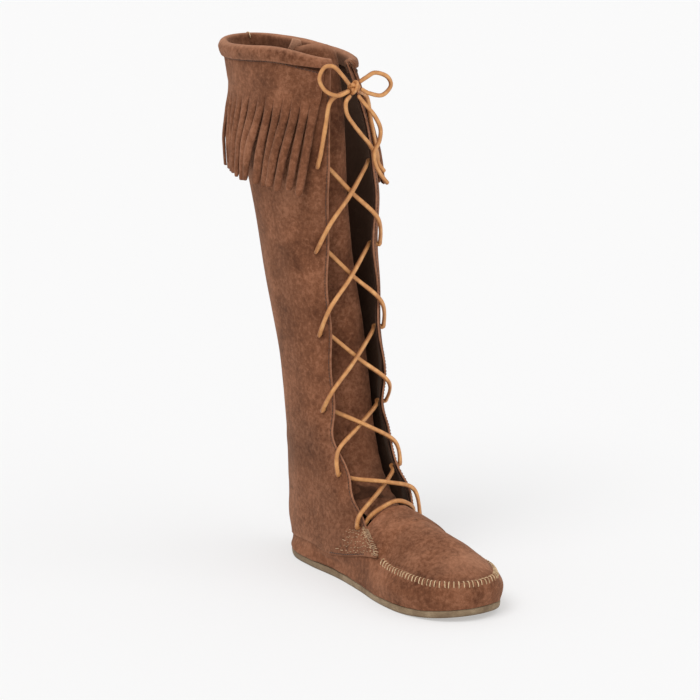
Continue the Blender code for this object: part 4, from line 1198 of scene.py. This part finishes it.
def cut_strip(rng, start, number):
    """One hanging strip, with its own lean, curl, width and length, ready to be joined."""
    lean, stand = rng.uniform(-0.012, 0.012), rng.uniform(0.0012, 0.0056)
    long = FRINGE_STRIP * rng.uniform(0.935, 1.0)
    stand = stand * (1 + 0.4 * near(start, 0, 0.45))
    narrow = rng.uniform(0.07, 0.13)
    starts = rng.uniform(0, 0.005)
    curl = rng.uniform(0.0009, 0.0018)
    twist = rng.uniform(-0.0011, 0.0011)
    bow = rng.uniform(-0.004, 0.004)
    rows = np.append(np.linspace(0, 0.95, 44), 0.95 + 0.05 * np.sin(np.linspace(0.1, 1, 9) * np.pi / 2))
    across = (np.sin(np.linspace(-1, 1, 11) * np.pi / 2 * 0.92) / np.sin(np.pi / 2 * 0.92))[None, :]
    down = rows * long
    open_up = step(starts, starts + 0.018, down) * narrow + step(starts, starts + 0.003, down) * 0.04
    tip = np.sqrt(np.clip(1 - np.clip((down - long) / TIP_LONG + 1, 0, 1) ** 2 * 0.78, 0.05, 1))
    half = ((0.5 - open_up) * tip)[:, None]
    side = start + STRIP_WIDE * (0.5 + half * across + 8 * bow * np.sin(rows * np.pi * 1.4)[:, None])
    depth = down[:, None] + np.zeros_like(side)
    outer, out = strip_shape(side, depth, LAYER, lean, stand)
    inner, _ = strip_shape(side, depth, SHELL_GAP, lean, stand)
    bend = (0.25 * curl - curl * np.abs(across) ** 2.2) * step(0.001 + 0.5 * starts, 0.02, depth)
    roll = np.clip(twist * across, 0, None) * step(0.012, 0.07, depth)
    wave = 0.0005 * noise(outer, (0.008, 0.008, 0.018), 80 + number) * step(0.004, 0.03, depth)
    lift = (bend + roll + wave + 0.0004 * step(0.004, 0.02, depth))[..., None]
    outer, inner = outer + out * lift, inner + out * lift
    # painted shade along each strip's long edges and, through raw=0.0, on its cut edges, where the slits
    # between strips fall dark; the patches are a random darker tone
    rim = np.abs(across) ** 6 * step(0.002, 0.016, depth)
    worn_and_lit = 0.1 * rim + 0.10 * patches(outer, (0.01, 0.01, 0.03), 90)
    soil_and_shade = 0.30 * patches(outer, (0.012, 0.012, 0.03), 91 + number) + 0.4 * rim
    return thick(outer, inner, None, worn_and_lit, soil_and_shade, open_rows=(0,), raw=0.0)


def make_fringe():
    """Cut suede strips, in sections that hang from their slit line, each section one piece."""
    rng = np.random.RandomState(21)
    for k in range(FRINGE_SECTIONS):
        first = -FRINGE_EDGE + k * STRIPS_EACH * STRIP_WIDE
        strips = [cut_strip(rng, first + n * STRIP_WIDE, n) for n in range(STRIPS_EACH)]
        worn_and_lit, soil_and_shade = (np.concatenate([strip[i] for strip in strips]) for i in (2, 3))
        verts, faces = gather([strip[:2] for strip in strips])
        piece = build(f"fringe_strips_{k + 1}", verts, faces, BROWN, worn_and_lit, soil_and_shade, body=None,
                      slot="suede", stands_for=(f"fringe_{k + 1}",))
        middle = first + STRIPS_EACH * STRIP_WIDE / 2
        root = leg(level_below_top(middle, COLLAR_DROP + FRINGE_BAND), middle, LAYER)
        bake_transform(piece)


# ---------------------------------------------------------------- the tongue
def tongue_surface():
    share = np.linspace(0, 0.985, 250)[:, None]
    y, z, lateral, middle, medial, back_l, back_m, drop = (
        eased(TONGUE[:, [0, k]], share) for k in range(1, 9))
    t = np.linspace(-1, 1, 61)[None, :]
    at_l, at_0, at_m = t * (t - 1) / 2, 1 - t**2, t * (t + 1) / 2
    x = lateral * at_l + middle * at_0 + medial * at_m
    return np.stack([x, y + back_l * at_l + back_m * at_m, z - drop * t**2], -1) * MM, share, t


def make_tongue():
    grid, share, t = tongue_surface()
    normal = aimed(sheet_normal(grid), (0, 1, -0.3))
    low = near(share, 0.10, 0.07)
    creases = low * np.abs(noise(grid, (0.02, 0.012, 0.009), 101)) * 0.0032
    ruck = near(share, 0.30, 0.25) * np.abs(noise(grid, (0.012, 0.02, 0.05), 102)) * 0.0012
    dents = (noise(grid, (0.016, 0.03, 0.06), 103) + 1) * 0.0007 * step(0.12, 0.2, share)
    grid = grid + normal * (creases + ruck + dents)[..., None]
    grid[..., 2] += step(0.95, 0.985, share) * (0.0028 * np.cos(t * 2.2) - 0.004 * np.abs(t) ** 6)
    worn_and_lit = 0.4 * np.abs(t) ** 40 + step(0.974, 0.983, share) + 0.14 * patches(grid, (0.02, 0.02, 0.04), 104)
    # painted shade over the whole tongue, which lies in the boot's shade, and more in its low part and
    # between its creases; the patches are a random darker tone
    soil_and_shade = 0.15 + 0.4 * patches(grid, (0.02, 0.02, 0.035), 105)
    soil_and_shade = soil_and_shade + low * (0.4 + 0.4 * (1 - step(0.0004, 0.0012, creases)))
    hide("tongue_hide", grid, grid + normal * SUEDE, BROWN, wear_and_highlight=worn_and_lit, shade=soil_and_shade, body="tongue",
         slot="suede", stands_for=("tongue",))
    make_tongue_corner(grid[-1, 6])


def make_tongue_corner(root):
    """The tongue's top corner, dog-eared up and forward."""
    u, w = np.meshgrid(np.linspace(0, 1, 16), np.linspace(0, 1, 16))
    x = (-0.0065 + 0.0135 * u) * (1 - 0.55 * w) + 0.0005
    y = 0.0012 - 0.0022 * np.sin(w * 2.0) - 0.01 * (u - 0.5) ** 2 * w
    z = -0.0035 + 0.0115 * w * (1 - 0.35 * (u - 0.4) ** 2)
    face = np.stack([x, y, z], -1) + root
    face += 0.0004 * noise(face, 0.005, 111)[..., None]
    back = face + aimed(sheet_normal(face), (0, 1, 0)) * CORNER_THICK
    hide("tongue_corner", face, back, TURNED_LIT, wear_and_highlight=0.3 + 0.5 * w, body="tongue", slot="suede")


# ---------------------------------------------------------------- the lace
def lace_strand(first):
    """One end of the lace, from inside its lowest hole up to the hole under the bow."""
    over, under = LACE_THICK / 2 + 3 * GAP, -FACING_IN - FACING_THICK - LACE_THICK / 2 - 3 * GAP
    points = []
    side = first
    for k, v in enumerate(HOLE_HEIGHTS):
        s = side_at(v, side, HOLE_IN)
        points += [skin(v, s, under), skin(v, s, -0.0015), skin(v, s, over)]
        if k == len(HOLE_HEIGHTS) - 1:
            break
        v_next = HOLE_HEIGHTS[k + 1]
        leave = v + (LEAVE_MEDIAL if k == 0 and side > 0 else LEAVE) * (v_next - v)
        arrive = v + ARRIVE * (v_next - v)
        a = skin(leave, side * PAST_EDGE, over + GAP)
        b = skin(arrive, side_at(arrive, -side, 0.001), under - 3 * GAP)
        middle = (v + v_next) / 2
        forward = unit(leg_normal(middle, -1) + leg_normal(middle, 1))
        on_top = (side < 0) if k >= 2 else (side > 0)
        mid = (a + b) / 2 + forward * ((LACE_PASS if on_top else -LACE_PASS) + LACE_ARCH[k])
        points += [a, mid, b]
        side = -side
    return points, side


def to_the_knot(side):
    over = LACE_THICK / 2 + 3 * GAP
    return [skin(v, side_at(v, side, d), over + extra)
            for v, d, extra in ((0.862, 0.0062, 0), (0.91, 0.0028, 0.0004), (0.945, 0.0, 0.003))]


def lace_body(path, seed, wide=LACE_WIDE, thick_by=LACE_THICK):
    """Tube with the uneven width and turned faces of a hand-cut lace, and its colour weights: painted shade
    on its cut sides, painted highlight on its flat faces.
    """
    sides, shift = 14, seed * 3.7
    run = np.pad(length_along(path)[:, None], ((0, 0), (0, 2)))
    swell = 1 + 0.05 * noise(run, 0.009, shift)
    look = unit((path - LEG_MIDDLE) * (1, 1, 0))
    look = look + np.cross(look, (0, 0, 1)) * (0.35 * noise(run, 0.035, shift + 1))[:, None]
    verts, faces = tube(path, wide, thick_by, sides=sides, square=3.0, lean=look, swell=swell)
    ring = np.linspace(0, 2 * np.pi, sides, endpoint=False)
    count = (len(verts) - 2) // sides
    # painted shade on the lace's cut sides and painted highlight on its flat faces
    shade = np.append(np.tile(0.85 * np.abs(np.cos(ring)) ** 3, count), [0.3, 0.3])
    wear_and_highlight = np.append(np.tile(0.5 * np.abs(np.sin(ring)) ** 4, count), [0.5, 0.5])
    return verts, faces, wear_and_highlight, shade


def make_lace():
    one, end_side = lace_strand(-1)
    two, _ = lace_strand(1)
    bar = [(-21, -2, 57.5), (-10.5, -6.5, 65.5), (0, -7.5, 68.5), (10.5, -6.5, 65.5), (21, -2, 57.5)]
    knot_ends = {-1: (-26.0, 20.5, 400), 1: (-18.0, 20.5, 399.5)}
    up_one = to_the_knot(end_side) + [np.array(knot_ends[end_side]) * MM]
    up_two = to_the_knot(-end_side) + [np.array(knot_ends[-end_side]) * MM]
    route = up_one[::-1] + one[::-1] + [np.array(p) * MM for p in bar] + two + up_two
    path = resample(spline(np.array(route), 2400), spacing=0.0011)
    verts, faces, wear_and_highlight, shade = lace_body(path, 1)
    build("laced_part", verts, faces, LACE, wear_and_highlight, shade, slot="lace_leather", stands_for=("lace",))


def make_bow():
    turn = np.linspace(0, 2 * np.pi, 90)
    c, s = np.cos(turn), np.sin(turn)
    crossing = np.column_stack([s + 2 * np.sin(2 * turn), -1.2 * np.sin(3 * turn), c - 2 * np.cos(2 * turn)])
    belt = np.column_stack([2.6 * 0.75 * c + 0.4, 3.6 * s + 0.2, 4.4 * c])
    parts = [tube(KNOT_AT + crossing * np.array([1.35, 1.6, 1.15]) * MM, LACE_WIDE * 0.84, LACE_THICK * 0.95,
                  sides=12, square=2.8),
             tube(KNOT_AT + belt * MM, LACE_WIDE * 0.8, LACE_THICK * 0.92, sides=12, square=2.8)]
    verts, faces = gather(parts)
    build("knot", verts, faces, LACE, np.full(len(verts), 0.2), np.full(len(verts), 0.15),
          slot="lace_leather", stands_for=("bow_knot",))
    cords = (("loop_left", LOOP_LEFT, "bow_loop_left", ROOT, "object"),
             ("loop_right", LOOP_RIGHT, "bow_loop_right", ROOT, "object"),
             ("tail_left", TAIL_LEFT, "lace_tail_left", "lace_tails", "bare"),
             ("tail_right", TAIL_RIGHT, "lace_tail_right", "lace_tails", "bare"))
    for k, (name, points, node, body, end) in enumerate(cords):
        path = resample(spline(points, 400) * MM, spacing=0.001)
        verts, faces, wear_and_highlight, shade = lace_body(path, 2 + k, BOW_WIDE, BOW_THICK)
        piece = build(name, verts, faces, LACE, wear_and_highlight, shade, body=body, slot="lace_leather",
                      stands_for=(node,))


# ---------------------------------------------------------------- the boot
make_camera()
make_stage()
make_bow()
make_lace()
make_outsole()
keep_inner_parts()
make_footbed()
make_vamp()
make_plug()
make_whip_stitches()
make_shaft()
make_back_strip()
make_facings()
make_leg_stitches()
make_collar()
make_band()
make_fringe()
make_tongue()
